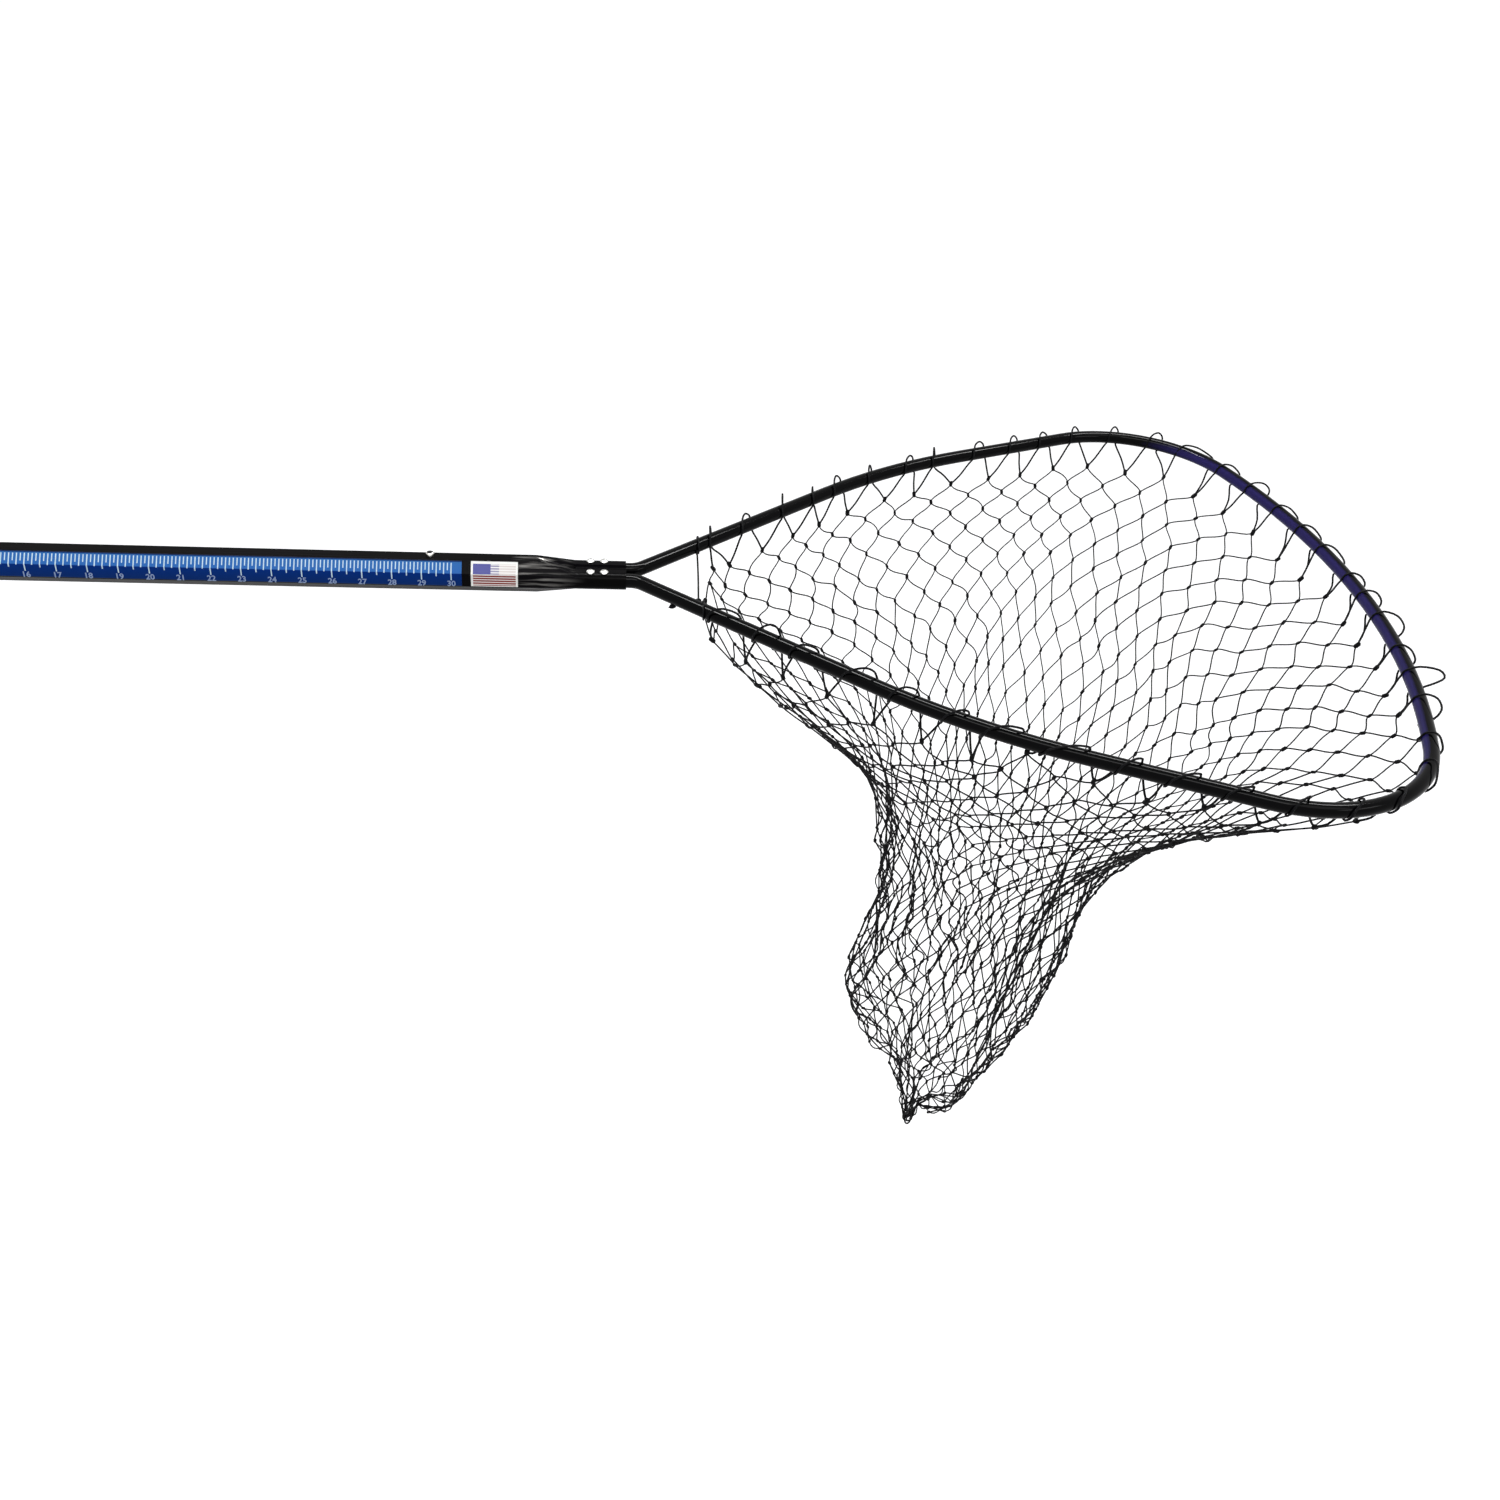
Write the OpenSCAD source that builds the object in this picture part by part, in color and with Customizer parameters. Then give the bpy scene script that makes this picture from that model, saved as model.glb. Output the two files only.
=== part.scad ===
// Landing net with a telescoping octagonal handle, a bent tube hoop and a deep knotted net bag.
// Millimetres. The origin is the middle of the hand grip, on the handle's axis. +X runs along the
// handle to the hoop, the hoop lies in the XY plane, and the bag hangs down along -Z.

/* [Handle tubes] */
// Outer tube across its flats
outer_af = 30.2; // [28:0.1:36]
// Wall of the outer and the inner tube
tube_wall = 1.5; // [1:0.1:1.8]
// Gap on each side between the inner tube and the outer tube
slide_gap = 0.3; // [0.2:0.05:0.6]
// Outer tube from its mouth to its crimped end
outer_len = 945; // [900:5:1000]
// Inner tube left bare between the grip and the collar when the handle is pushed together
bare_len = 30; // [10:1:100]
// Travel of the handle from one button hole to the other
travel = 610; // [500:5:640]

/* [Grip and butt] */
// Diameter of the hand grip
grip_d = 38; // [34:1:44]
// Length of the hand grip
grip_len = 230; // [150:5:240]
// Rounding of the grip's ends
grip_round = 4; // [1:0.5:5]
// Thickness of the butt cap's flange
cap_flange = 10; // [6:1:16]
// Depth of the butt cap's plug in the tube
cap_plug = 22; // [12:1:40]
// Radius of the lanyard hole
lanyard_r = 3.2; // [2:0.1:4]
// Thickness of the lanyard eye
eye_t = 5; // [4:0.5:8]

/* [Guide parts] */
// Wall of the collar at the outer tube's mouth
collar_wall = 2; // [1.5:0.1:3]
// Length of the collar that is over the outer tube
collar_len = 24; // [16:1:30]
// Thickness of the collar's lip round the inner tube
collar_lip = 4; // [2:0.5:8]
// Length of the guide bush ahead of the inner tube
bush_len = 12; // [8:1:20]
// Depth of the guide bush's plug in the inner tube
bush_plug = 15; // [8:1:16]

/* [Snap button] */
// Distance from the button to the crimped end
button_from_end = 171; // [150:1:200]
// Radius of the button
button_r = 3.6; // [2.5:0.1:4]
// Height that the button stands above the outer tube
button_proud = 4; // [2:0.1:5]
// Thickness of the spring strip
strip_t = 0.8; // [0.5:0.1:1]
// Length of the spring strip from its bend to the button
strip_len = 58; // [45:1:80]

/* [Crimped yoke] */
// Length of the straight crimp that clamps the hoop's legs
crimp_len = 45; // [40:1:60]
// Length over which the octagon flattens into the crimp
crimp_run = 34; // [24:1:50]
// Radius of the creases between the legs
crease_r = 4; // [3:0.1:5]
// Distance from the crimped end to the first screws
screw_from_end = 19.5; // [14:0.5:22]
// Distance between the screws on one leg
screw_pitch = 12; // [9:0.5:16]
// Radius of the screw shanks
screw_r = 1.9; // [1.5:0.1:2.5]
// Radius of the screw heads
screw_head_r = 3.6; // [3:0.1:4.5]
// Length of the screws under the head
screw_len = 9; // [6:0.5:11]

/* [Hoop] */
// Diameter of the hoop's tube
hoop_d = 12.7; // [10:0.1:16]
// Wall of the hoop's tube
hoop_wall = 1.25; // [1:0.05:2]
// Distance between the centres of the two legs
leg_pitch = 19.4; // [17:0.1:24]
// Gap between the ends of the legs and the back of the crimp
leg_stop = 2; // [1:0.5:6]
// Hoop from the crimped end to the middle of the bow
hoop_len = 689; // [640:1:760]
// Width of the hoop, between tube centres
hoop_w = 660; // [600:1:700]
// Radius of the bends just outside the crimp
leg_bend_r = 18; // [14:1:30]
// Slope of the arms from the crimp to the shoulder
arm_angle = 40.3; // [38:0.1:42]
// Distance from the crimped end to the shoulder
shoulder_x = 271.5; // [250:0.5:290]
// Slope of the arms past the shoulder
shoulder_angle = 22.9; // [20:0.1:26]
// Radius of the shoulder
shoulder_r = 606; // [300:1:700]
// Radius of the two front corners
corner_r = 122; // [100:1:140]

/* [Net bag] */
// Distance from the crimped end to the bag's gathered end
tip_x = 364; // [340:1:390]
// Depth of the bag below the hoop
bag_depth = 758; // [500:1:900]
// Thickness of the bag's wall
bag_wall = 1.6; // [1.2:0.1:2.5]
// Loops that hang the net on each half of the hoop
loops_per_half = 21; // [12:1:24]
// Diameter of the loop twine
loop_twine = 2; // [1.2:0.1:2.4]
// Diameter of the seam lacing
seam_twine = 2.4; // [1.6:0.1:3]
// Length along the hoop from the crimp to the first loop
first_loop = 74; // [60:1:100]

/* [Labels] */
// Thickness of the printed labels
label_t = 0.2; // [0.1:0.05:0.4]
// Distance from the crimped end to the ruler's last mark
ruler_from_end = 152.4; // [140:0.1:200]
// Length of the striped label
stripe_len = 40.6; // [20:0.1:50]
// Distance from the crimped end to the striped label
stripe_from_end = 94.8; // [85:0.1:100]

/* [Hidden] */

fit_gap = 0.1;      // between pieces that are pressed or glued together
clamp_gap = 0.05;   // between pieces that are clamped or riveted together
bush_gap = 0.15;    // between the guide bush and the outer tube
button_gap = 0.25;  // between the button and its holes
soft_gap = 0.3;     // between twine and what it lies against
cut_over = 1;       // how far a cut runs past a face
merge = 1;          // how far the shapes of one solid run into each other
slice_t = 0.02;     // thickness of the slices that the flattening is hulled from
plug_lead = 12;     // from the button to the guide bush's plug
inch = 25.4;
oct_half = 22.5;    // half the angle of one face of an octagon

// places along the handle
butt_x = -grip_len / 2 - cap_flange;
mouth_x = grip_len / 2 + bare_len + collar_lip;
yoke_x = mouth_x + outer_len;
button_x = yoke_x - button_from_end;
crimp_x = yoke_x - crimp_len;
flatten_x = crimp_x - crimp_run;

// tubes
bore_af = outer_af - 2 * tube_wall;
inner_af = bore_af - 2 * slide_gap;
inner_bore_af = inner_af - 2 * tube_wall;
inner_start = butt_x + cap_flange + fit_gap;
inner_end = button_x + plug_lead + bush_plug;

// crimp
leg_y = leg_pitch / 2;
hoop_r = hoop_d / 2;
leg_hole_r = hoop_r + clamp_gap;
leg_in = crimp_len - leg_stop;
crimp_r = leg_hole_r + tube_wall;
joint_len = 0.5;    // length of the hair-thin bands that close the hoop's joints
joint_t = 0.02;     // thickness that the bands add

// button
button_hole_r = button_r + button_gap;
button_flange_r = inner_bore_af * tan(oct_half) / 2;
button_flange_t = 1;
flange_z = inner_bore_af / 2 - fit_gap - button_flange_t;
strip_z = flange_z - clamp_gap - strip_t;
strip_w = 2 * (button_flange_r - 4 * fit_gap);

// ruler, with as many whole inches as the tube has room for
film_before = 4;
film_after = 9;
ruler_inches = floor((outer_len - collar_len - ruler_from_end - film_before) / inch);

// ---- outline of the hoop: leg bend, arm, shoulder, arm, corner, half of the bow ----
// Positions are measured from the crimped end, on the half with +Y.
leg_lead = 3;
bend_c = [leg_lead, leg_y + leg_bend_r];
bend_end = bend_c + leg_bend_r * [sin(arm_angle), -cos(arm_angle)];
shoulder_y = bend_end[1] + (shoulder_x - bend_end[0]) * tan(arm_angle);
shoulder_t = shoulder_r * tan((arm_angle - shoulder_angle) / 2);
arm_end = [shoulder_x, shoulder_y] - shoulder_t * [cos(arm_angle), sin(arm_angle)];
shoulder_c = arm_end + shoulder_r * [sin(arm_angle), -cos(arm_angle)];
shoulder_end = shoulder_c + shoulder_r * [-sin(shoulder_angle), cos(shoulder_angle)];
corner_y = hoop_w / 2 - corner_r;
corner_c = [shoulder_x + (corner_y + corner_r / cos(shoulder_angle) - shoulder_y) / tan(shoulder_angle),
            corner_y];
corner_start = corner_c + corner_r * [-sin(shoulder_angle), cos(shoulder_angle)];
bow_r = (pow(corner_y, 2) + pow(corner_c[0] - hoop_len, 2) - pow(corner_r, 2))
        / (2 * (hoop_len - corner_c[0] - corner_r));
bow_c = [hoop_len - bow_r, 0];
bow_angle = atan2(corner_c[1], corner_c[0] - bow_c[0]);

// Stretches of the outline: [kind, start, end or centre, radius, first angle, swept angle, length]
function line_piece(p, q) = ["line", p, q, 0, 0, 0, norm(q - p)];
function arc_piece(c, r, a, sweep) = ["arc", c, c, r, a, sweep, r * abs(sweep) * PI / 180];
outline = [
    line_piece([0, leg_y], [leg_lead, leg_y]),
    arc_piece(bend_c, leg_bend_r, -90, arm_angle),
    line_piece(bend_end, arm_end),
    arc_piece(shoulder_c, shoulder_r, 90 + arm_angle, shoulder_angle - arm_angle),
    line_piece(shoulder_end, corner_start),
    arc_piece(corner_c, corner_r, 90 + shoulder_angle, bow_angle - 90 - shoulder_angle),
    arc_piece(bow_c, bow_r, bow_angle, -bow_angle)
];
function length_to(i) = i == 0 ? 0 : length_to(i - 1) + outline[i - 1][6];
half_outline = length_to(len(outline));

// Point and heading [x, y, heading] on a stretch, at a length along it
function on_piece(p, s) =
    p[0] == "line"
        ? let (u = (p[2] - p[1]) / p[6]) [p[1][0] + u[0] * s, p[1][1] + u[1] * s, atan2(u[1], u[0])]
        : let (a = p[4] + p[5] * s / p[6])
          [p[1][0] + p[3] * cos(a), p[1][1] + p[3] * sin(a), a + (p[5] > 0 ? 90 : -90)];
// Point and heading on the half outline at length s from the crimped end
function on_half(s, i = 0) =
    (i == len(outline) - 1 || s <= outline[i][6])
        ? on_piece(outline[i], s)
        : on_half(s - outline[i][6], i + 1);

// ---- bag: the rim follows the hoop, and lower rings blend into ovals ----
// Each ring: [depth as a share of bag_depth, middle ahead of the gathered end, half length,
// half width, how far the ring has left the hoop's outline for its oval]
bag_rings = [
    [0.000, 36, 300, 300, 0.00],
    [0.060, 36, 270, 230, 0.28],
    [0.140, 34, 235, 190, 0.52],
    [0.230, 30, 195, 160, 0.74],
    [0.330, 26, 155, 138, 0.92],
    [0.430, 22, 128, 124, 1.00],
    [0.560, 18, 124, 120, 1.00],
    [0.690, 20, 122, 114, 1.00],
    [0.800, 24, 100, 92, 1.00],
    [0.900, 16, 58, 52, 1.00],
    [0.965, 2, 18, 16, 1.00],
    [0.980, 0, 6.5, 6.5, 1.00],
    [1.000, 0, 6.5, 6.5, 1.00]
];
neck_ring = 4;      // the ring where the wide funnel of netting meets the narrow sack
rim_z = -(hoop_r + 2 * soft_gap + loop_twine);
rim_points = 44;
rim_lead = 12;      // how far the bag's rim runs back from the first loop
rim_start = first_loop - rim_lead;

// Point j of the rim, from the +Y side of the yoke round the bow to the -Y side
function rim_point(j) =
    let (s = rim_start + (2 * half_outline - 2 * rim_start) * j / (rim_points - 1),
         near = s > half_outline,
         p = on_half(near ? 2 * half_outline - s : s))
    [p[0], near ? -p[1] : p[1]];
function oval_point(ring, j) =
    let (a = 180 - 360 * (j + 0.5) / rim_points)
    [tip_x + ring[1] + ring[2] * cos(a), ring[3] * sin(a)];
// Point j of ring k, moved out by d from the ring's middle
function bag_point(k, j, d) =
    let (ring = bag_rings[k],
         p = (1 - ring[4]) * rim_point(j) + ring[4] * oval_point(ring, j),
         m = [tip_x + ring[1], 0],
         u = (p - m) / norm(p - m))
    [yoke_x + p[0] + d * u[0], p[1] + d * u[1], rim_z - ring[0] * (bag_depth + rim_z)];

module oct_bar(af, x0, x1) {
    corner = af / 2 / cos(oct_half);
    translate([x0, 0, 0])
        rotate([90, 0, 90])
            linear_extrude(x1 - x0)
                polygon([for (k = [0 : 7]) let (a = oct_half * (2 * k + 1)) corner * [cos(a), sin(a)]]);
}

module x_rod(r, x0, x1, y = 0, z = 0) {
    translate([x0, y, z])
        rotate([0, 90, 0])
            cylinder(r = r, h = x1 - x0, $fn = 48);
}

// a flat-sided bar with two round edges, as wide as both legs
module crimp_bar(r, x0, x1, fn = 48) {
    for (side = [-1, 1])
        translate([x0, side * leg_y, 0])
            rotate([0, 90, 0])
                cylinder(r = r, h = x1 - x0, $fn = fn);
    translate([x0, -leg_y, -r])
        cube([x1 - x0, 2 * leg_y, 2 * r]);
}

// the octagon flattening into the crimp
module flattening(af, r) {
    hull() {
        oct_bar(af, flatten_x, flatten_x + slice_t);
        crimp_bar(r, crimp_x - slice_t, crimp_x, 32);
    }
}

// creases pressed into the top and bottom, between the two legs
module creases(grow) {
    run = crimp_x - flatten_x;
    high = outer_af / 2 + crease_r;
    drop = high - crimp_r;
    for (up = [-1, 1]) {
        translate([crimp_x, 0, up * crimp_r])
            rotate([0, 90, 0])
                cylinder(r = crease_r + grow, h = crimp_len + cut_over, $fn = 48);
        translate([flatten_x, 0, up * high])
            rotate([0, 90 + up * atan2(drop, run), 0])
                cylinder(r = crease_r + grow, h = norm([run, drop]), $fn = 48);
    }
}

module at_screws(z) {
    for (side = [-1, 1], n = [0, 1])
        translate([yoke_x - screw_from_end - n * screw_pitch, side * leg_y, z])
            children();
}

module outer_tube() {
    color("#17181c")
    difference() {
        union() {
            oct_bar(outer_af, mouth_x, flatten_x + slice_t);
            flattening(outer_af, crimp_r);
            crimp_bar(crimp_r, crimp_x - slice_t, yoke_x);
        }
        oct_bar(bore_af, mouth_x - cut_over, flatten_x + slice_t);
        difference() {
            flattening(bore_af, leg_hole_r);
            creases(tube_wall);
        }
        creases(0);
        for (side = [-1, 1])
            x_rod(leg_hole_r, crimp_x - slice_t, yoke_x + cut_over, side * leg_y);
        for (x = [button_x, button_x - travel])
            translate([x, 0, 0])
                cylinder(r = button_hole_r, h = outer_af, $fn = 48);
        at_screws(0)
            cylinder(r = screw_r + fit_gap, h = outer_af, $fn = 32);
    }
}

module hoop_section(grow) {
    difference() {
        circle(r = hoop_r + grow, $fn = 48);
        circle(r = hoop_r - hoop_wall - grow, $fn = 48);
    }
}

module hoop_piece(p) {
    if (p[0] == "line")
        translate([p[1][0], p[1][1], 0])
            rotate([0, 0, atan2(p[2][1] - p[1][1], p[2][0] - p[1][0])])
                rotate([90, 0, 90])
                    linear_extrude(p[6])
                        hoop_section(0);
    else
        translate([p[1][0], p[1][1], 0])
            rotate([0, 0, p[5] > 0 ? p[4] : p[4] + p[5]])
                rotate_extrude(angle = abs(p[5]), $fn = 240)
                    translate([p[3], 0])
                        hoop_section(0);
}

// hair-thin band that closes the joint between two stretches of the tube
module hoop_joint(at) {
    translate([at[0], at[1], 0])
        rotate([0, 0, at[2]])
            rotate([90, 0, 90])
                translate([0, 0, -joint_len / 2])
                    linear_extrude(joint_len)
                        hoop_section(joint_t);
}

module hoop() {
    bow = outline[len(outline) - 1];
    leg = line_piece([-leg_in, leg_y], [leg_lead, leg_y]);
    color("#111114")
    difference() {
        translate([yoke_x, 0, 0]) {
            for (side = [0, 1])
                mirror([0, side, 0]) {
                    hoop_piece(leg);
                    for (i = [1 : len(outline) - 2]) {
                        hoop_piece(outline[i]);
                        hoop_joint(on_half(length_to(i)));
                    }
                }
            hoop_piece(arc_piece(bow[1], bow[3], bow[4], -2 * bow[4]));
            for (side = [0, 1])
                mirror([0, side, 0])
                    hoop_joint(on_half(length_to(len(outline) - 1)));
        }
        at_screws(0)
            cylinder(r = screw_r + clamp_gap, h = hoop_d, $fn = 32);
    }
}

// pan-head screw with a cross recess
module yoke_screw() {
    head_h = 2.4;
    dome_r = 5;
    recess = [3.8, 0.8, 1.3];
    difference() {
        union() {
            rotate_extrude($fn = 48)
                intersection() {
                    translate([0, head_h - dome_r])
                        circle(r = dome_r, $fn = 96);
                    square([screw_head_r, head_h]);
                }
            translate([0, 0, -screw_len])
                cylinder(r = screw_r, h = screw_len + merge / 2, $fn = 32);
        }
        for (turn = [0, 90])
            rotate([0, 0, turn])
                translate([-recess[0] / 2, -recess[1] / 2, head_h - recess[2]])
                    cube([recess[0], recess[1], recess[2] + cut_over]);
    }
}

module yoke_screws() {
    color("#c9ccd0")
    at_screws(crimp_r + clamp_gap)
        yoke_screw();
}

// printed film on two faces of the octagon: the one at -Y and the one between it and the top
module label_film(x0, x1) {
    inner_r = outer_af / 2 / cos(oct_half);
    outer_r = (outer_af / 2 + label_t) / cos(oct_half);
    edge = 0.06;
    a = [112.5, 157.5, 202.5];
    corner = [for (r = [inner_r, outer_r]) [for (t = a) r * [cos(t), sin(t)]]];
    strip = [for (c = corner) [c[0] + edge * (c[1] - c[0]), c[1], c[2] + edge * (c[1] - c[2])]];
    translate([x0, 0, 0])
        rotate([90, 0, 90])
            linear_extrude(x1 - x0)
                polygon([strip[0][0], strip[0][1], strip[0][2], strip[1][2], strip[1][1], strip[1][0]]);
}

module ruler_label() {
    last_mark = yoke_x - ruler_from_end;
    color("#1a3f93")
    label_film(last_mark - ruler_inches * inch - film_before, last_mark + film_after);
}

module stripe_label() {
    color("#e6dedd")
    label_film(yoke_x - stripe_from_end - stripe_len, yoke_x - stripe_from_end);
}

module tube_collar() {
    color("#1b1b1d")
    difference() {
        oct_bar(outer_af + 2 * collar_wall, mouth_x - collar_lip, mouth_x + collar_len);
        oct_bar(outer_af + 2 * fit_gap, mouth_x - fit_gap, mouth_x + collar_len + cut_over);
        oct_bar(bore_af, mouth_x - collar_lip - cut_over, mouth_x);
    }
}

module inner_tube() {
    color("#2a2b2f")
    difference() {
        oct_bar(inner_af, inner_start, inner_end);
        oct_bar(inner_bore_af, inner_start - cut_over, inner_end + cut_over);
        translate([button_x, 0, 0])
            cylinder(r = button_hole_r, h = outer_af, $fn = 48);
    }
}

// hollow plug that centres the inner tube's end in the outer tube
module guide_bush() {
    wall = 2;
    color("#3a3b3d")
    difference() {
        union() {
            oct_bar(bore_af - 2 * bush_gap, inner_end + fit_gap, inner_end + bush_len);
            oct_bar(inner_bore_af - 2 * fit_gap, inner_end - bush_plug, inner_end + bush_len);
        }
        oct_bar(inner_bore_af - 2 * fit_gap - 2 * wall, inner_end - bush_plug - cut_over,
                inner_end + bush_len + cut_over);
    }
}

module snap_button() {
    top_z = outer_af / 2 + button_proud;
    dome = 1.6;
    color("#b9bcc0")
    translate([button_x, 0, 0]) {
        translate([0, 0, flange_z])
            cylinder(r = button_flange_r, h = button_flange_t, $fn = 48);
        translate([0, 0, flange_z])
            cylinder(r = button_r, h = top_z - dome - flange_z, $fn = 48);
        translate([0, 0, top_z - dome])
            rotate_extrude($fn = 48) {
                square([button_r - dome, dome]);
                translate([button_r - dome, 0])
                    intersection() {
                        circle(r = dome, $fn = 48);
                        square([dome, dome]);
                    }
            }
    }
}

// V-shaped strip inside the inner tube, with the button riveted to its upper leg
module button_spring() {
    floor_z = -inner_bore_af / 2 + fit_gap;
    front = button_flange_r + 2;
    flat_back = 12;
    low_leg = plug_lead - 1;
    color("#9a9da1")
    translate([button_x, strip_w / 2, 0])
        rotate([90, 0, 0])
            linear_extrude(strip_w)
                polygon([
                    [low_leg, floor_z], [-strip_len, floor_z],
                    [-strip_len - strip_t, floor_z + strip_t],
                    [-flat_back, strip_z + strip_t], [front, strip_z + strip_t],
                    [front, strip_z], [-flat_back + strip_t, strip_z],
                    [-strip_len + strip_t, floor_z + 1.6 * strip_t],
                    [-strip_len + 2 * strip_t, floor_z + strip_t], [low_leg, floor_z + strip_t]
                ]);
}

module grip() {
    color("#202124")
    difference() {
        rotate([0, 90, 0])
            translate([0, 0, -grip_len / 2])
                rotate_extrude($fn = 96) {
                    square([grip_d / 2 - grip_round, grip_len]);
                    translate([0, grip_round])
                        square([grip_d / 2, grip_len - 2 * grip_round]);
                    for (y = [grip_round, grip_len - grip_round])
                        translate([grip_d / 2 - grip_round, y])
                            circle(r = grip_round, $fn = 48);
                }
        oct_bar(inner_af + 2 * fit_gap, -grip_len, grip_len);
    }
}

module butt_cap() {
    eye_r = 7.5;
    eye_x = butt_x - eye_r;
    rounding = 2.5;
    cap_step = 0.5;
    cap_r = grip_d / 2 - cap_step;
    color("#1b1b1d")
    difference() {
        union() {
            translate([butt_x, 0, 0])
                rotate([0, 90, 0])
                    rotate_extrude($fn = 96) {
                        square([cap_r - rounding, cap_flange]);
                        translate([0, rounding])
                            square([cap_r, cap_flange - rounding]);
                        translate([cap_r - rounding, rounding])
                            circle(r = rounding, $fn = 48);
                    }
            oct_bar(inner_bore_af - 2 * fit_gap, butt_x + cap_flange - merge, butt_x + cap_flange + cap_plug);
            translate([eye_x, eye_t / 2, 0])
                rotate([90, 0, 0])
                    cylinder(r = eye_r, h = eye_t, $fn = 64);
            translate([eye_x, -eye_t / 2, -eye_r])
                cube([eye_r + merge, eye_t, 2 * eye_r]);
        }
        translate([eye_x, eye_t / 2 + cut_over, 0])
            rotate([90, 0, 0])
                cylinder(r = lanyard_r, h = eye_t + 2 * cut_over, $fn = 48);
    }
}

// rings of twine round the hoop, numbered from the yoke to the bow on one half
module rim_loops(first, last, side) {
    pitch = (half_outline - first_loop) / (loops_per_half - 0.5);
    ring_r = hoop_r + soft_gap + loop_twine / 2;
    for (i = [first : last]) {
        at = on_half(first_loop + i * pitch);
        translate([yoke_x + at[0], side * at[1], 0])
            rotate([0, 0, side * at[2]])
                rotate([0, 90, 0])
                    rotate_extrude($fn = 48)
                        translate([ring_r, 0])
                            circle(r = loop_twine / 2, $fn = 24);
    }
}
bow_loops = 7;

module rim_loops_left() {
    color("#101013") rim_loops(0, loops_per_half - bow_loops - 1, 1);
}

module rim_loops_right() {
    color("#101013") rim_loops(0, loops_per_half - bow_loops - 1, -1);
}

module rim_loops_bow() {
    color("#101013")
    for (side = [-1, 1])
        rim_loops(loops_per_half - bow_loops, loops_per_half - 1, side);
}

// Shell of netting from ring k0 down to ring k1, open at the top, and at the bottom too unless closed
module bag_shell(k0, k1, closed) {
    n = rim_points;
    rings = k1 - k0 + 1;
    floor_z = bag_point(k1, 0, 0)[2] + (closed ? bag_wall : 0);
    outer = [for (k = [k0 : k1], j = [0 : n - 1]) bag_point(k, j, 0)];
    inner = [for (k = [k0 : k1], j = [0 : n - 1])
                 let (p = bag_point(k, j, -bag_wall)) [p[0], p[1], max(p[2], floor_z)]];
    shift = rings * n;
    last = shift - n;
    sides = [for (k = [0 : rings - 2], j = [0 : n - 1])
                 let (a = k * n + j, b = k * n + (j + 1) % n, c = a + n, d = b + n)
                 each [[a, c, b], [b, c, d],
                       [a + shift, b + shift, c + shift], [b + shift, d + shift, c + shift]]];
    rim = [for (j = [0 : n - 1])
               let (a = j, b = (j + 1) % n)
               each [[a, b, a + shift], [b, b + shift, a + shift]]];
    hem = [for (j = [0 : n - 1])
               let (a = last + j, b = last + (j + 1) % n)
               each [[a, a + shift, b], [b, a + shift, b + shift]]];
    bottom = [[for (j = [n - 1 : -1 : 0]) last + j], [for (j = [0 : n - 1]) last + shift + j]];
    polyhedron(concat(outer, inner), concat(sides, rim, closed ? bottom : hem), convexity = 6);
}

module net_funnel() {
    color("#1d1d22") bag_shell(0, neck_ring, false);
}

module net_sack() {
    color("#1d1d22") bag_shell(neck_ring, len(bag_rings) - 1, true);
}

// lacing down the -Y side of the bag, from the rim to the gathered end
module bag_seam() {
    r = seam_twine / 2;
    facets = 8;
    column = 31;    // the column of the bag's points that it lies over
    off = r + 2 * soft_gap;
    route = [for (k = [0 : len(bag_rings) - 3]) bag_point(k, column, off)];
    n = len(route);
    points = [for (i = [0 : n - 1])
                  let (ahead = route[min(i + 1, n - 1)] - route[max(i - 1, 0)],
                       t = ahead / norm(ahead),
                       side = cross(t, [0, -1, 0]),
                       u = side / norm(side),
                       v = cross(t, u))
                  for (f = [0 : facets - 1])
                      route[i] + r * (cos(360 * f / facets) * u + sin(360 * f / facets) * v)];
    tube = [for (i = [0 : n - 2], f = [0 : facets - 1])
                let (a = i * facets + f, b = i * facets + (f + 1) % facets)
                each [[a, b, a + facets], [b, b + facets, a + facets]]];
    ends = [[for (f = [facets - 1 : -1 : 0]) f], [for (f = [0 : facets - 1]) (n - 1) * facets + f]];
    color("#0e0e10")
        polyhedron(points, concat(tube, ends), convexity = 6);
}

// ring of twine that gathers the last meshes
module bottom_tie() {
    last = bag_rings[len(bag_rings) - 1];
    before = bag_rings[len(bag_rings) - 2];
    tie_r = seam_twine / 2;
    z = rim_z - (last[0] + before[0]) / 2 * (bag_depth + rim_z);
    color("#0e0e10")
    translate([yoke_x + tip_x + last[1], 0, z])
        rotate_extrude($fn = 48)
            translate([last[2] + soft_gap + tie_r, 0])
                circle(r = tie_r, $fn = 24);
}

outer_tube();
hoop();
yoke_screws();
ruler_label();
stripe_label();
tube_collar();
inner_tube();
guide_bush();
snap_button();
button_spring();
grip();
butt_cap();
rim_loops_left();
rim_loops_right();
rim_loops_bow();
net_funnel();
net_sack();
bag_seam();
bottom_tie();
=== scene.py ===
import logging
import math
from collections.abc import Callable
from dataclasses import dataclass, field
from enum import Enum
from typing import Any

import bpy
import numpy as np
from mathutils import Matrix, Vector


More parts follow.
